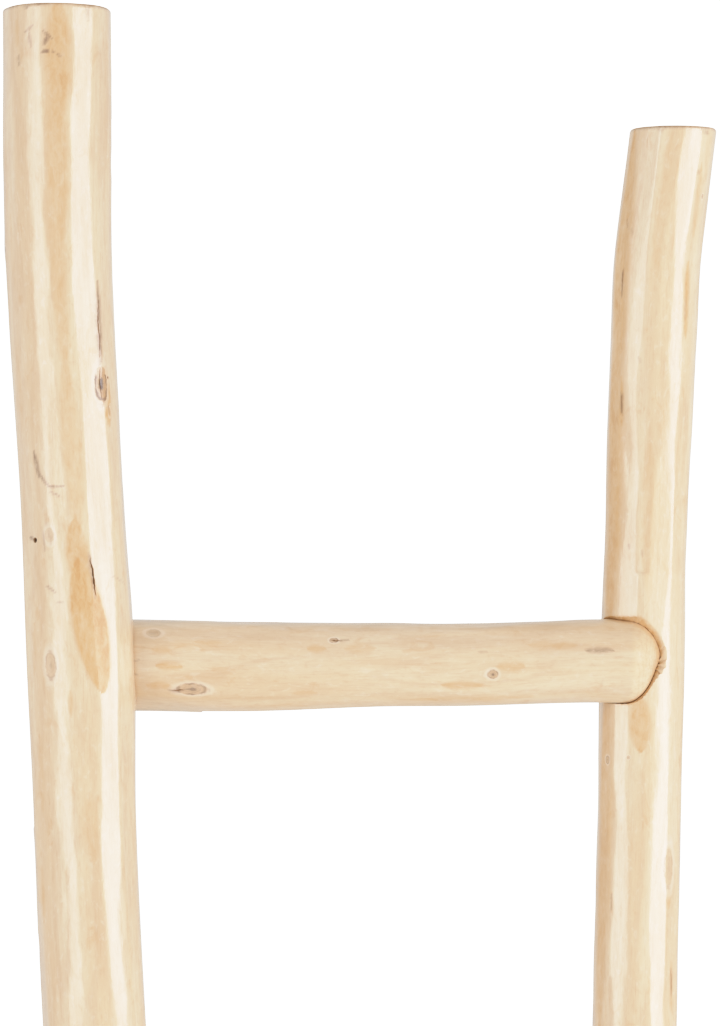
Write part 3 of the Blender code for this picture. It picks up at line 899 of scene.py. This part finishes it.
def spindles(branch, marks, angle, along, radius):
    """Strength of the spindle-shaped marks, which fade out from their edge share of their width."""
    total = np.zeros(len(angle))
    for start, end, half_width, strength, edge in marks:
        near = np.abs(along - start[1]) < abs(end[1] - start[1]) + 2 * half_width + mm(1)
        du = branch.round_distance(angle[near], start[0], radius[near])
        dv = along[near] - start[1]
        run_u, run_v = math.radians(end[0] - start[0]) * radius[near], end[1] - start[1]
        length = np.hypot(run_u, run_v) + 1e-6
        t = np.clip((du * run_u + dv * run_v) / length**2, 0, 1)
        away = np.abs(du * run_v - dv * run_u) / length
        width = half_width * np.sin(math.pi * t) ** 0.6 + 1e-6
        seen = strength * (1 - smooth(edge, 1.4 - 0.35 * edge, away / width))
        total[near] = np.maximum(total[near], seen * (t > 0) * (t < 1))
    return total


def seam_stain(branch, points, partners):
    """Golden finish gathered in the joints: its strength, and where a pocket's own wall is."""
    stain, wall = np.zeros(len(points)), np.zeros(len(points), dtype=bool)
    for partner in partners:
        if branch.upright:
            rung, side = partner
            near = np.abs(points[:, 2] - rung.rise) < mm(50)
            spots = points[near]
            angle, along, radius = rung.local(spots)
            beyond = np.clip(side * (along - rung.nose_hearts[0 if side < 0 else 1]) + NOSE_TIP, 0, 1)
            away = radius - rung_reach(rung, angle, along) + beyond
            width = mouth_width(rung, side, spots) + mm(0.3)
            golden = 0.9 * (1 - smooth(0.85 * width, 1.15 * width + mm(0.8), away))
            stain[near] = np.maximum(stain[near], golden)
            wall[near] |= away < width * 1.4 + mm(0.3)
        else:
            angle, along, radius = partner.local(points)
            away = radius - partner.skin(angle, along)
            stain = np.maximum(stain, 0.50 * (1 - smooth(mm(-0.3), mm(2.6), away)))
    return stain, wall


def rim_dirt(branch, angle, along):
    """Darker wood on the sawn ends' rims."""
    low, high = branch.stations[0][0], branch.stations[-1][0]
    near = np.minimum(along - low, high - along)
    around = np.column_stack((np.cos(angle), np.sin(angle), along))
    patchy = 0.62 + 0.30 * ripple(around, (0.5, 0.5, 0.01), 3)
    return np.clip(patchy, 0.25, 1) * (1 - smooth(mm(0.9), mm(2.5), near))


def set_attribute(mesh, name, kind, field, values):
    attribute = mesh.attributes.new(name, kind, "POINT")
    attribute.data.foreach_set(field, np.ascontiguousarray(values, dtype=np.float32).ravel())


def write_attributes(branch, piece, partners):
    mesh = piece.data
    count = len(mesh.vertices)
    points, normals = np.empty(count * 3), np.empty(count * 3)
    mesh.vertices.foreach_get("co", points)
    mesh.vertices.foreach_get("normal", normals)
    points, normals = points.reshape(-1, 3), normals.reshape(-1, 3)
    angle, along, radius = branch.local(points)
    bruise = spindles(branch, branch.bruises, angle, along, radius)
    if branch.upright:
        skin = branch.skin(angle, along)
        end = smooth(0.45, 0.90, np.abs(normals[:, 2]))
        foot, top = branch.stations[0][0] + RIM * 1.5, branch.stations[-1][0] - RIM * 1.5
        end *= np.maximum(along < foot, along > top)
        bruise = np.maximum(bruise, rim_dirt(branch, angle, along) * (end < 0.98))
    else:
        skin = rung_reach(branch, angle, along)
        left, right = branch.nose_hearts
        nose = smooth(mm(13), mm(5), np.minimum(along - left, right - along))
        end = np.maximum(0.45 * nose, 0.8 * smooth(0.5, 0.98, np.abs(normals[:, 0])))
    seam, wall = seam_stain(branch, points, partners)
    stain = np.maximum(spindles(branch, branch.stains, angle, along, radius), seam)
    # depth drives painted shade, darker the deeper a place sinks in a crack, pit or hole, and a duller
    # finish there; pocket walls and end grain get none.
    depth = np.clip((skin - radius) / mm(2.5), 0, 1) * (end < 0.5) * ~wall
    set_attribute(mesh, "grain", "FLOAT_VECTOR", "vector", bent_grain(branch, angle, along, radius))
    set_attribute(mesh, "knot", "FLOAT_VECTOR", "vector", knot_places(branch, angle, along, radius))
    set_attribute(mesh, "marks", "FLOAT_COLOR", "color", np.column_stack((stain, depth, end, bruise)))


# ---------------------------------------------------------------------------------------------------
# Materials.
# ---------------------------------------------------------------------------------------------------


def srgb(red, green, blue):
    """Linear colour from 0 to 255 values."""
    parts = [v / 255 for v in (red, green, blue)]
    return (*[v / 12.92 if v <= 0.04045 else ((v + 0.055) / 1.055) ** 2.4 for v in parts], 1)


COAT = 1.0
WOOD_PALE, WOOD_WARM = srgb(240, 217, 182), srgb(233, 204, 164)
WOOD_LIGHT, WOOD_STREAK = srgb(248, 229, 206), srgb(218, 183, 140)
WOOD_GOLD, WOOD_LINE = srgb(220, 178, 125), srgb(196, 154, 110)
STAIN, STAIN_EDGE, BRUISE = srgb(219, 174, 114), srgb(202, 146, 84), srgb(142, 104, 74)
KNOT_FACE, KNOT_RING, KNOT_HEART = srgb(196, 158, 118), srgb(134, 98, 68), srgb(84, 58, 40)
# The last two colours are painted shade: cracks, pits and holes are darkened the deeper they sink below the
# skin.
END_GRAIN, SHALLOW_RECESS_SHADE, DEEP_RECESS_SHADE = srgb(192, 150, 104), srgb(180, 132, 84), srgb(86, 58, 38)


class Graph:
    """A material's nodes, added and linked in short calls."""

    def __init__(self, name):
        self.material = bpy.data.materials.new(name)
        self.material.use_nodes = True
        self.tree = self.material.node_tree
        self.shader = self.tree.nodes["Principled BSDF"]

    def feed(self, socket, value):
        if isinstance(value, bpy.types.NodeSocket):
            self.tree.links.new(value, socket)
        else:
            socket.default_value = value

    def add(self, kind, inputs, **settings):
        node = self.tree.nodes.new("ShaderNode" + kind)
        for key, value in settings.items():
            setattr(node, key, value)
        for key, value in inputs.items():
            self.feed(node.inputs[key], value)
        return node

    def math(self, operation, a, b=0.0, clamp=False):
        return self.add("Math", {0: a, 1: b}, operation=operation, use_clamp=clamp).outputs[0]

    def vector(self, operation, a, b=(0, 0, 0)):
        return self.add("VectorMath", {0: a, 1: b}, operation=operation).outputs[0]

    def noise(self, place, detail=3.0, rough=0.55, distort=0.0):
        inputs = {"Vector": place, "Scale": 1.0, "Detail": detail, "Roughness": rough, "Distortion": distort}
        return self.add("TexNoise", inputs).outputs["Fac"]

    def ramp(self, value, low, high, start=0.0, end=1.0):
        inputs = {"Value": value, "From Min": low, "From Max": high, "To Min": start, "To Max": end}
        return self.add("MapRange", inputs, interpolation_type="SMOOTHSTEP").outputs["Result"]

    def mix(self, factor, a, b, blend="MIX"):
        node = self.add("Mix", {0: factor}, data_type="RGBA", blend_type=blend)
        self.feed(node.inputs[6], a)
        self.feed(node.inputs[7], b)
        return node.outputs[2]

    def attribute(self, name, output="Vector"):
        return self.add("Attribute", {}, attribute_name=name).outputs[output]

    def split(self, vector):
        return self.add("SeparateXYZ", {"Vector": vector}).outputs


def peeled_wood():
    """Pale peeled branch wood under a clear satin lacquer."""
    g = Graph("peeled_wood")
    place = g.vector("MULTIPLY", g.attribute("grain"), (1000, 1000, 1000))
    marks = g.add("Attribute", {}, attribute_name="marks").outputs
    stained, depth, end = g.split(marks["Color"])
    bruised = marks["Alpha"]

    broad = g.noise(g.vector("MULTIPLY", place, (0.060, 0.060, 0.0065)), 2.0)
    middle = g.noise(g.vector("MULTIPLY", place, (0.17, 0.17, 0.018)), 3.0, 0.6, 0.3)
    fine = g.noise(g.vector("MULTIPLY", place, (1.1, 1.1, 0.075)), 2.0, 0.6)
    patchy = g.noise(g.vector("MULTIPLY", place, (0.12, 0.12, 0.050)), 4.0, 0.65, 0.6)
    mottle = g.noise(g.vector("MULTIPLY", place, (0.32, 0.32, 0.17)), 3.0, 0.6, 0.5)

    colour = g.mix(g.ramp(broad, 0.35, 0.68), WOOD_PALE, WOOD_WARM)
    colour = g.mix(g.ramp(middle, 0.42, 0.74, 0.0, 0.40), colour, WOOD_STREAK)
    colour = g.mix(g.ramp(mottle, 0.52, 0.74, 0.0, 0.30), colour, WOOD_STREAK)
    colour = g.mix(g.ramp(mottle, 0.46, 0.28, 0.0, 0.35), colour, WOOD_LIGHT)
    colour = g.mix(g.ramp(patchy, 0.56, 0.72, 0.0, 0.42), colour, WOOD_GOLD)
    colour = g.mix(g.ramp(fine, 0.48, 0.76, 0.0, 0.20), colour, WOOD_LINE)

    cut = g.ramp(end, 0.50, 1.00)
    ring_line = growth_rings(g, place)
    ring_strength = g.math("ADD", g.math("MULTIPLY", cut, 0.50), 0.12)
    colour = g.mix(g.math("MULTIPLY", ring_line, ring_strength), colour, WOOD_LINE)

    uneven = g.math("ADD", g.math("MULTIPLY", patchy, 0.9), g.math("MULTIPLY", mottle, 0.6))
    stain_mask = g.math("MULTIPLY", stained, g.ramp(uneven, 0.45, 0.95, 0.55, 1.0))
    colour = g.mix(g.math("MULTIPLY", stain_mask, 0.95), colour, STAIN)
    core = g.math("MULTIPLY", g.ramp(stained, 0.55, 1.0), g.ramp(uneven, 0.72, 1.0))
    colour = g.mix(g.math("MULTIPLY", core, 0.45), colour, STAIN_EDGE)

    colour, knot_dark = knot_colour(g, colour, place)
    smudge = g.math("MULTIPLY", bruised, g.ramp(mottle, 0.30, 0.70, 0.45, 1.0))
    colour = g.mix(g.math("MULTIPLY", smudge, 0.95), colour, BRUISE)
    colour = g.mix(g.math("MULTIPLY", cut, 0.65), colour, END_GRAIN)
    # Painted shade: places below the skin, in cracks, pits and holes, are painted darker the deeper they
    # lie.
    colour = g.mix(g.ramp(depth, 0.04, 0.22, 0.0, 0.70), colour, SHALLOW_RECESS_SHADE)
    colour = g.mix(g.ramp(depth, 0.16, 0.55, 0.0, 0.85), colour, DEEP_RECESS_SHADE)
    g.feed(g.shader.inputs["Base Color"], colour)

    dull = g.math("MULTIPLY", g.ramp(stained, 0.60, 0.95), 0.26)
    bare = g.ramp(g.math("MAXIMUM", g.math("MAXIMUM", end, depth), dull), 0.0, 0.45)
    rough = g.ramp(middle, 0.3, 0.7, 0.38, 0.50)
    g.feed(g.shader.inputs["Roughness"], g.math("ADD", rough, g.math("MULTIPLY", bare, 0.25)))
    g.shader.inputs["IOR"].default_value = 1.50
    g.shader.inputs["Specular IOR Level"].default_value = 0.60
    g.feed(g.shader.inputs["Coat Weight"], g.ramp(bare, 0.0, 1.0, COAT, 0.15))
    g.shader.inputs["Coat Roughness"].default_value = 0.16
    g.shader.inputs["Coat IOR"].default_value = 1.68

    height = g.math("ADD", g.math("MULTIPLY", fine, 0.020), g.math("MULTIPLY", middle, 0.070))
    height = g.math("ADD", height, g.math("MULTIPLY", mottle, 0.090))
    height = g.math("SUBTRACT", height, g.math("MULTIPLY", ring_line, g.math("MULTIPLY", cut, 0.10)))
    height = g.math("SUBTRACT", height, g.math("MULTIPLY", knot_dark, 0.12))
    bump = g.add("Bump", {"Strength": 0.9, "Distance": 0.001, "Height": height})
    g.feed(g.shader.inputs["Normal"], bump.outputs[0])
    g.feed(g.shader.inputs["Coat Normal"], bump.outputs[0])
    return g.material


def growth_rings(g, place):
    """1 on the thin dark lines of the growth rings, which show as contours where the knife cut flats."""
    warp = g.add("TexNoise", {"Vector": g.vector("MULTIPLY", place, (0.045, 0.045, 0.006)), "Scale": 1.0})
    shift = g.vector("MULTIPLY", g.vector("SUBTRACT", warp.outputs["Color"], (0.5, 0.5, 0.5)), (9, 9, 0))
    flat = g.vector("MULTIPLY", g.vector("ADD", place, shift), (1, 1, 0))
    reach = g.add("VectorMath", {0: flat}, operation="LENGTH").outputs["Value"]
    wave = g.math("SINE", g.math("MULTIPLY", reach, 2 * math.pi / 2.3))
    return g.ramp(wave, 0.30, 1.0)


def knot_colour(g, colour, place):
    """The colour with knots drawn in, and how dark they make each place."""
    u, v, strength = g.split(g.attribute("knot"))
    rough_edge = g.noise(g.vector("MULTIPLY", place, (0.40, 0.40, 0.25)), 3.0, 0.65)
    broken = g.ramp(g.noise(g.vector("MULTIPLY", place, (0.28, 0.28, 0.16)), 2.0, 0.6), 0.38, 0.62)
    away = g.math("SQRT", g.math("ADD", g.math("MULTIPLY", u, u), g.math("MULTIPLY", v, v)))
    away = g.math("ADD", away, g.math("MULTIPLY", g.math("SUBTRACT", rough_edge, 0.5), 0.75))
    near = g.ramp(strength, 0.0, 0.12)
    pale = g.math("MULTIPLY", g.ramp(away, 1.75, 1.25), g.ramp(away, 0.85, 1.10))
    face = g.math("MULTIPLY", g.ramp(away, 1.10, 0.75), g.math("POWER", strength, 0.8))
    outline = g.math("MULTIPLY", g.ramp(away, 0.66, 0.92), g.ramp(away, 1.18, 0.98))
    rings = g.ramp(g.math("SINE", g.math("MULTIPLY", away, 15.0)), 0.0, 1.0)
    heart = g.ramp(away, 0.48, 0.10)
    colour = g.mix(g.math("MULTIPLY", g.math("MULTIPLY", pale, near), 0.45), colour, WOOD_LIGHT)
    colour = g.mix(g.math("MULTIPLY", face, 0.65), colour, KNOT_FACE)
    colour = g.mix(g.math("MULTIPLY", g.math("MULTIPLY", rings, face), 0.22), colour, KNOT_RING)
    line = g.math("MULTIPLY", g.math("MULTIPLY", outline, broken), g.math("MULTIPLY", strength, 0.90))
    colour = g.mix(line, colour, KNOT_RING)
    core = g.math("MULTIPLY", g.math("MULTIPLY", heart, strength), strength)
    colour = g.mix(core, colour, KNOT_HEART)
    return colour, g.math("MAXIMUM", core, g.math("MULTIPLY", line, 0.6))


def plug_wood():
    """Turned wooden plugs, side grain up, in a slightly darker wood."""
    g = Graph("plug_wood")
    place = g.vector("MULTIPLY", g.add("TexCoord", {}).outputs["Object"], (1000, 1000, 1000))
    lines = g.noise(g.vector("MULTIPLY", place, (0.12, 1.2, 1.3)), 3.0, 0.6)
    colour = g.mix(g.ramp(lines, 0.35, 0.70), srgb(214, 180, 132), srgb(184, 142, 94))
    g.feed(g.shader.inputs["Base Color"], colour)
    g.feed(g.shader.inputs["Roughness"], g.ramp(lines, 0.3, 0.7, 0.40, 0.52))
    bump = g.add("Bump", {"Strength": 0.6, "Distance": 0.001, "Height": g.math("MULTIPLY", lines, 0.05)})
    g.feed(g.shader.inputs["Normal"], bump.outputs[0])
    return g.material


def dark_rubber():
    """Moulded rubber with a fine matt grain."""
    g = Graph("dark_rubber")
    place = g.vector("MULTIPLY", g.add("TexCoord", {}).outputs["Object"], (1000, 1000, 1000))
    speck = g.noise(g.vector("MULTIPLY", place, (2.2, 2.2, 2.2)), 4.0, 0.7)
    g.feed(g.shader.inputs["Base Color"], g.mix(speck, srgb(46, 40, 37), srgb(64, 57, 52)))
    g.feed(g.shader.inputs["Roughness"], g.ramp(speck, 0.3, 0.7, 0.68, 0.85))
    bump = g.add("Bump", {"Strength": 0.5, "Distance": 0.001, "Height": g.math("MULTIPLY", speck, 0.06)})
    g.feed(g.shader.inputs["Normal"], bump.outputs[0])
    return g.material


def zinc_steel():
    """Bright zinc plating with a faint cloudy tone and roughness."""
    g = Graph("zinc_steel")
    place = g.vector("MULTIPLY", g.add("TexCoord", {}).outputs["Object"], (1000, 1000, 1000))
    cloud = g.noise(g.vector("MULTIPLY", place, (0.8, 0.8, 0.8)), 3.0, 0.6)
    g.feed(g.shader.inputs["Base Color"], g.mix(cloud, srgb(206, 203, 192), srgb(176, 172, 158)))
    g.feed(g.shader.inputs["Roughness"], g.ramp(cloud, 0.3, 0.7, 0.24, 0.40))
    g.shader.inputs["Metallic"].default_value = 1.0
    return g.material


# ---------------------------------------------------------------------------------------------------
# Pieces.
# ---------------------------------------------------------------------------------------------------


def finish_piece(piece, material, slot, *nodes):
    piece.data.materials.clear()
    piece.data.materials.append(material)
    piece.data.shade_smooth()
    piece.data.set_sharp_from_angle(angle=math.radians(42))
    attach(piece, "root")
    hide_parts(*nodes)
    return piece


def centre_of(node):
    low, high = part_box(node)
    return (Vector(low) + Vector(high)) / 2


def behind():
    """Turns +Z to run from the ladder's front to its back."""
    return Matrix.Rotation(math.radians(-90), 4, "X")


def hole_shapes(label, number):
    """Cutters for one rung's screw and plug, from the CAD model's own pieces."""
    screw_low, screw_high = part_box(f"rung_{number}_{label}_screw")
    plug_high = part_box(f"rung_{number}_{label}_plug")[1]
    middle = centre_of(f"rung_{number}_{label}_plug")
    point, head = screw_low[1], screw_high[1]
    bore, shank, top = PLUG_RADIUS + GAP, SCREW_RADIUS + GAP, plug_high[1] - head + mm(12)
    profile = (
        (top, 0),
        (top, bore),
        (GAP / 2, bore),
        (0, SCREW_HEAD_RADIUS + GAP),
        (-SCREW_HEAD - GAP, shank),
        (-(head - point) + SCREW_POINT - GAP, shank),
        (-(head - point) - 3 * GAP, 0),
    )
    return turned("hole", profile, 40, (middle.x, head, middle.z), behind())


def foot_hole_shape(label):
    middle = centre_of(f"{label}_foot_screw")
    shank = SCREW_RADIUS + GAP
    top = FOOT_SCREW_TOP + SCREW_LENGTH + 3 * GAP
    profile = ((-0.01, 0), (-0.01, shank), (top - SCREW_POINT, shank), (top, 0))
    return turned("hole", profile, 32, (middle.x, middle.y, 0))


def bumper_hole_shape(label):
    low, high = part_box(f"{label}_wall_bumper")
    middle = centre_of(f"{label}_wall_bumper")
    seat = high[1] - BUMPER_HEAD
    stem, clear = BUMPER_STEM + GAP, BUMPER_RADIUS + GAP
    bottom = low[1] - GAP - seat
    profile = ((mm(9), 0), (mm(9), clear), (0, clear), (0, stem), (bottom, stem), (bottom, 0))
    return turned("hole", profile, 48, (middle.x, seat, middle.z), behind())


def make_stile(branch, rungs, side, wood):
    label = "left" if side < 0 else "right"
    piece = place(branch.name + "_branch", stile_shape(branch))
    pockets = [pocket_shape(rung, branch, side) for rung in rungs]
    holes = [hole_shapes(label, rung.number + 1) for rung in rungs]
    holes += [foot_hole_shape(label), bumper_hole_shape(label)]
    slits = [crack_shape(branch, *c, seed) for seed, c in enumerate(branch.cracks)]
    slits += [pit_shape(branch, *p) for p in branch.pits]
    carve(piece, pockets, holes, slits)
    write_attributes(branch, piece, [(rung, side) for rung in rungs])
    return finish_piece(piece, wood, "peeled_wood", branch.name)


def make_rung(branch, stiles, wood):
    piece = place(branch.name + "_branch", rung_shape(branch))
    holes = [hole_shapes(label, branch.number + 1) for label in ("left", "right")]
    slits = [crack_shape(branch, *c, 60 + seed) for seed, c in enumerate(branch.cracks)]
    carve(piece, holes, slits)
    write_attributes(branch, piece, stiles)
    return finish_piece(piece, wood, "peeled_wood", branch.name)


def make_plug(node, material):
    """A turned plug with a crowned, eased face."""
    low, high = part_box(node)
    middle = centre_of(node)
    length, radius = high[1] - low[1], PLUG_RADIUS
    profile = (
        (0, 0),
        (0, radius - mm(0.5)),
        (mm(0.5), radius),
        (length - mm(0.75), radius),
        (length - mm(0.45), radius - mm(0.10)),
        (length - mm(0.25), radius - mm(0.35)),
        (length - mm(0.14), radius - mm(0.8)),
        (length - mm(0.05), radius - mm(2.2)),
        (length, 0),
    )
    mesh = turned(node, profile, 48, (middle.x, low[1], middle.z), behind())
    finish_piece(place(node + "_turned", mesh), material, "plug_wood", node)


def threaded_mesh():
    """A wood screw about Z, its head's face at 0 facing up, its helical thread and point below."""
    pitch, root, shank, crest, sides = mm(1.9), mm(1.55), mm(1.75), SCREW_RADIUS, 24
    angles = np.linspace(0, 2 * math.pi, sides, endpoint=False)
    head = ((0, mm(2.6)), (0, mm(4.2)), (mm(0.12), mm(4.45)), (SCREW_LAND, mm(4.5)))
    rings = []
    for down, radius in head:
        rings.append(np.column_stack((radius * np.cos(angles), radius * np.sin(angles), 0 * angles - down)))
    thread_from = mm(9)
    for down in np.arange(mm(1.0), SCREW_LENGTH - mm(0.2), mm(0.24)):
        if down < SCREW_HEAD:
            share = (down - SCREW_LAND) / (SCREW_HEAD - SCREW_LAND)
            reach = np.full(sides, SCREW_HEAD_RADIUS + (shank - SCREW_HEAD_RADIUS) * share)
        else:
            turn = (down / pitch - angles / (2 * math.pi)) % 1
            ridge = np.clip(1 - np.abs(turn - 0.5) / 0.28, 0, 1)
            grown = smooth(thread_from, thread_from + pitch, down)
            taper = min((SCREW_LENGTH - down) / (SCREW_POINT * 1.3), 1) ** 0.8
            reach = (shank * (1 - grown) + grown * (root + (crest - root) * ridge)) * taper
        rings.append(np.column_stack((reach * np.cos(angles), reach * np.sin(angles), 0 * angles - down)))
    mesh = oriented(grid_mesh("wood_screw", np.array(rings), ((0, 0, 0), (0, 0, -SCREW_LENGTH))))
    piece = place("wood_screw", mesh)
    carve(piece, [recess_shape()])
    mesh = piece.data
    bpy.data.objects.remove(piece)
    return mesh


def recess_shape():
    """A cross recess that narrows downwards."""
    bm = bmesh.new()
    loops = []
    for depth, reach, half in ((0.5, 2.35, 0.52), (-1.8, 1.3, 0.34)):
        outline = []
        for quarter in range(4):
            turn = Matrix.Rotation(math.radians(90 * quarter), 3, "Z")
            for x, y in ((reach, -half), (reach, half), (half, half)):
                outline.append(bm.verts.new(turn @ Vector(mm(x, y, depth))))
        loops.append(outline)
    for i in range(12):
        j = (i + 1) % 12
        bm.faces.new((loops[0][i], loops[0][j], loops[1][j], loops[1][i]))
    bm.faces.new(loops[0])
    bm.faces.new(loops[1][::-1])
    bmesh.ops.recalc_face_normals(bm, faces=bm.faces)
    mesh = bpy.data.meshes.new("recess")
    bm.to_mesh(mesh)
    bm.free()
    return mesh


def make_screw(node, mesh, material, tilt, head):
    piece = place(node + "_threaded", mesh.copy())
    piece.data.transform(Matrix.Translation(head) @ tilt)
    finish_piece(piece, material, "zinc_steel", node)


def make_pad(label, material):
    """A rubber foot with a draughted side, a countersink and ring grooves in its tread."""
    node = f"{label}_foot_pad"
    low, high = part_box(node)
    middle = centre_of(node)
    radius, top = (high[0] - low[0]) / 2, high[2]
    profile = [(0, mm(5.2)), (0, mm(8))]
    for groove in (9, 12.5, 16):
        profile += [
            (0, mm(groove)),
            (mm(0.8), mm(groove + 0.3)),
            (mm(0.8), mm(groove + 1.2)),
            (0, mm(groove + 1.5)),
        ]
    profile += [
        (0, radius - mm(1.2)),
        (mm(0.25), radius - mm(0.5)),
        (mm(0.8), radius - mm(0.1)),
        (mm(1.6), radius),
        (top - mm(0.8), radius - mm(0.25)),
        (top - mm(0.2), radius - mm(0.5)),
        (top, radius - mm(1.1)),
        (top, SCREW_RADIUS + GAP),
        (mm(4.2), SCREW_RADIUS + GAP),
        (mm(1.6), SCREW_HEAD_RADIUS + GAP),
        (mm(0.3), SCREW_HEAD_RADIUS + GAP),
    ]
    angles = np.linspace(0, 2 * math.pi, 96, endpoint=False)
    bm = bmesh.new()
    loops = []
    for height, reach in profile:
        spots = [(middle.x + reach * math.cos(a), middle.y + reach * math.sin(a), height) for a in angles]
        loops.append([bm.verts.new(spot) for spot in spots])
    for one, other in zip(loops, loops[1:] + loops[:1]):
        for i in range(96):
            j = (i + 1) % 96
            bm.faces.new((one[i], one[j], other[j], other[i]))
    mesh = bpy.data.meshes.new(node)
    bm.to_mesh(mesh)
    bm.free()
    finish_piece(place(node + "_moulded", oriented(mesh)), material, "rubber", node)


def make_bumper(label, material):
    """A domed rubber bumper with a barbed stem."""
    node = f"{label}_wall_bumper"
    low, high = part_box(node)
    middle = centre_of(node)
    seat = high[1] - BUMPER_HEAD
    stem_end = low[1] - seat
    profile = [(mm(3.5), 0), (mm(3.5), mm(5.0)), (mm(3.42), mm(5.8)), (mm(3.15), mm(6.7))]
    profile += [(mm(2.6), mm(7.5)), (mm(1.9), mm(7.9)), (mm(1.2), mm(8.0)), (mm(0.5), mm(7.9))]
    profile += [(GAP, mm(7.6)), (GAP, mm(3.0)), (stem_end * 0.3, mm(2.5)), (stem_end * 0.55, mm(2.5))]
    profile += [(stem_end * 0.6, mm(3.0)), (stem_end * 0.95, mm(1.8)), (stem_end, 0)]
    mesh = oriented(turned(node, profile, 48, (middle.x, seat, middle.z), behind()))
    finish_piece(place(node + "_moulded", mesh), material, "rubber", node)


def make_hardware(plug_material, rubber, steel):
    screw = threaded_mesh()
    up = Matrix.Rotation(math.radians(180), 4, "X")
    for label in ("left", "right"):
        for number in range(1, len(RUNGS) + 1):
            make_plug(f"rung_{number}_{label}_plug", plug_material)
            node = f"rung_{number}_{label}_screw"
            middle, high = centre_of(node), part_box(node)[1]
            make_screw(node, screw, steel, behind(), (middle.x, high[1], middle.z))
        node = f"{label}_foot_screw"
        middle = centre_of(node)
        make_screw(node, screw, steel, up, (middle.x, middle.y, FOOT_SCREW_TOP))
        make_pad(label, rubber)
        make_bumper(label, rubber)


# ---------------------------------------------------------------------------------------------------
# Camera, lights and floor.
# ---------------------------------------------------------------------------------------------------


def make_camera():
    """Level, square on to the ladder, framing the top of it."""
    distance, height, view_height = 2.35, 1.5147, 0.6390
    data = bpy.data.cameras.new("camera")
    data.sensor_fit = "VERTICAL"
    data.sensor_height = 24
    data.lens = data.sensor_height * distance / view_height
    data.clip_end = 100
    camera = bpy.data.objects.new("camera", data)
    bpy.context.scene.collection.objects.link(camera)
    camera.location = (0, -distance, height)
    camera.rotation_euler = (math.radians(90), 0, 0)
    bpy.context.scene.camera = camera


def softbox(name, azimuth, distance, size, centre_height, radiance):
    """A tall softbox facing the ladder, azimuth degrees to the right of the camera."""
    data = bpy.data.lights.new(name, "AREA")
    data.shape = "RECTANGLE"
    data.size, data.size_y = size
    data.energy = radiance * math.pi * size[0] * size[1]
    data.color = (1.0, 0.965, 1.02)
    light = bpy.data.objects.new(name, data)
    bpy.context.scene.collection.objects.link(light)
    turn = math.radians(azimuth)
    light.location = (distance * math.sin(turn), -distance * math.cos(turn), centre_height)
    aim = Vector((0, 0, centre_height)) - light.location
    light.rotation_euler = aim.to_track_quat("-Z", "Y").to_euler()


def make_lights():
    softbox("right_softbox", 59, 2.0, (1.05, 2.1), 1.35, 3.4)
    softbox("left_softbox", -46, 2.0, (0.90, 2.1), 1.35, 2.3)
    world = bpy.data.worlds.new("studio")
    bpy.context.scene.world = world
    world.use_nodes = True
    nodes, links = world.node_tree.nodes, world.node_tree.links
    seen, lit = nodes["Background"], nodes.new("ShaderNodeBackground")
    seen.inputs["Color"].default_value = (1, 1, 1, 1)
    seen.inputs["Strength"].default_value = CURVE_WHITE * 1.1
    lit.inputs["Color"].default_value = (1, 1, 1, 1)
    lit.inputs["Strength"].default_value = 0.70
    path, mix = nodes.new("ShaderNodeLightPath"), nodes.new("ShaderNodeMixShader")
    links.new(path.outputs["Is Camera Ray"], mix.inputs[0])
    links.new(lit.outputs[0], mix.inputs[1])
    links.new(seen.outputs[0], mix.inputs[2])
    links.new(mix.outputs[0], nodes["World Output"].inputs["Surface"])


CURVE_WHITE = 1.7
CURVE = ((0.35, 0.345), (0.60, 0.580), (0.85, 0.785), (1.18, 0.915))


def set_tone():
    """Highlights roll off softly to white instead of clipping."""
    settings = bpy.context.scene.view_settings
    settings.view_transform = "Standard"
    settings.use_curve_mapping = True
    mapping = settings.curve_mapping
    mapping.white_level = (CURVE_WHITE,) * 3
    for level, shown_level in CURVE:
        mapping.curves[3].points.new(level / CURVE_WHITE, shown_level)
    mapping.update()


def make_floor():
    g = Graph("pale_floor")
    g.shader.inputs["Base Color"].default_value = srgb(236, 235, 232)
    g.shader.inputs["Roughness"].default_value = 0.75
    mesh = bpy.data.meshes.new("floor")
    reach = 4.0
    corners = ((-reach, -reach, 0), (reach, -reach, 0), (reach, reach, 0), (-reach, reach, 0))
    mesh.from_pydata(corners, [], [(0, 1, 2, 3)])
    mesh.materials.append(g.material)
    place("floor", mesh)


def main():
    wood = peeled_wood()
    left, right, rungs = make_branches()
    make_stile(left, rungs, -1, wood)
    make_stile(right, rungs, 1, wood)
    for rung in rungs:
        make_rung(rung, (left, right), wood)
    make_hardware(plug_wood(), dark_rubber(), zinc_steel())
    make_floor()
    make_camera()
    make_lights()
    set_tone()


main()
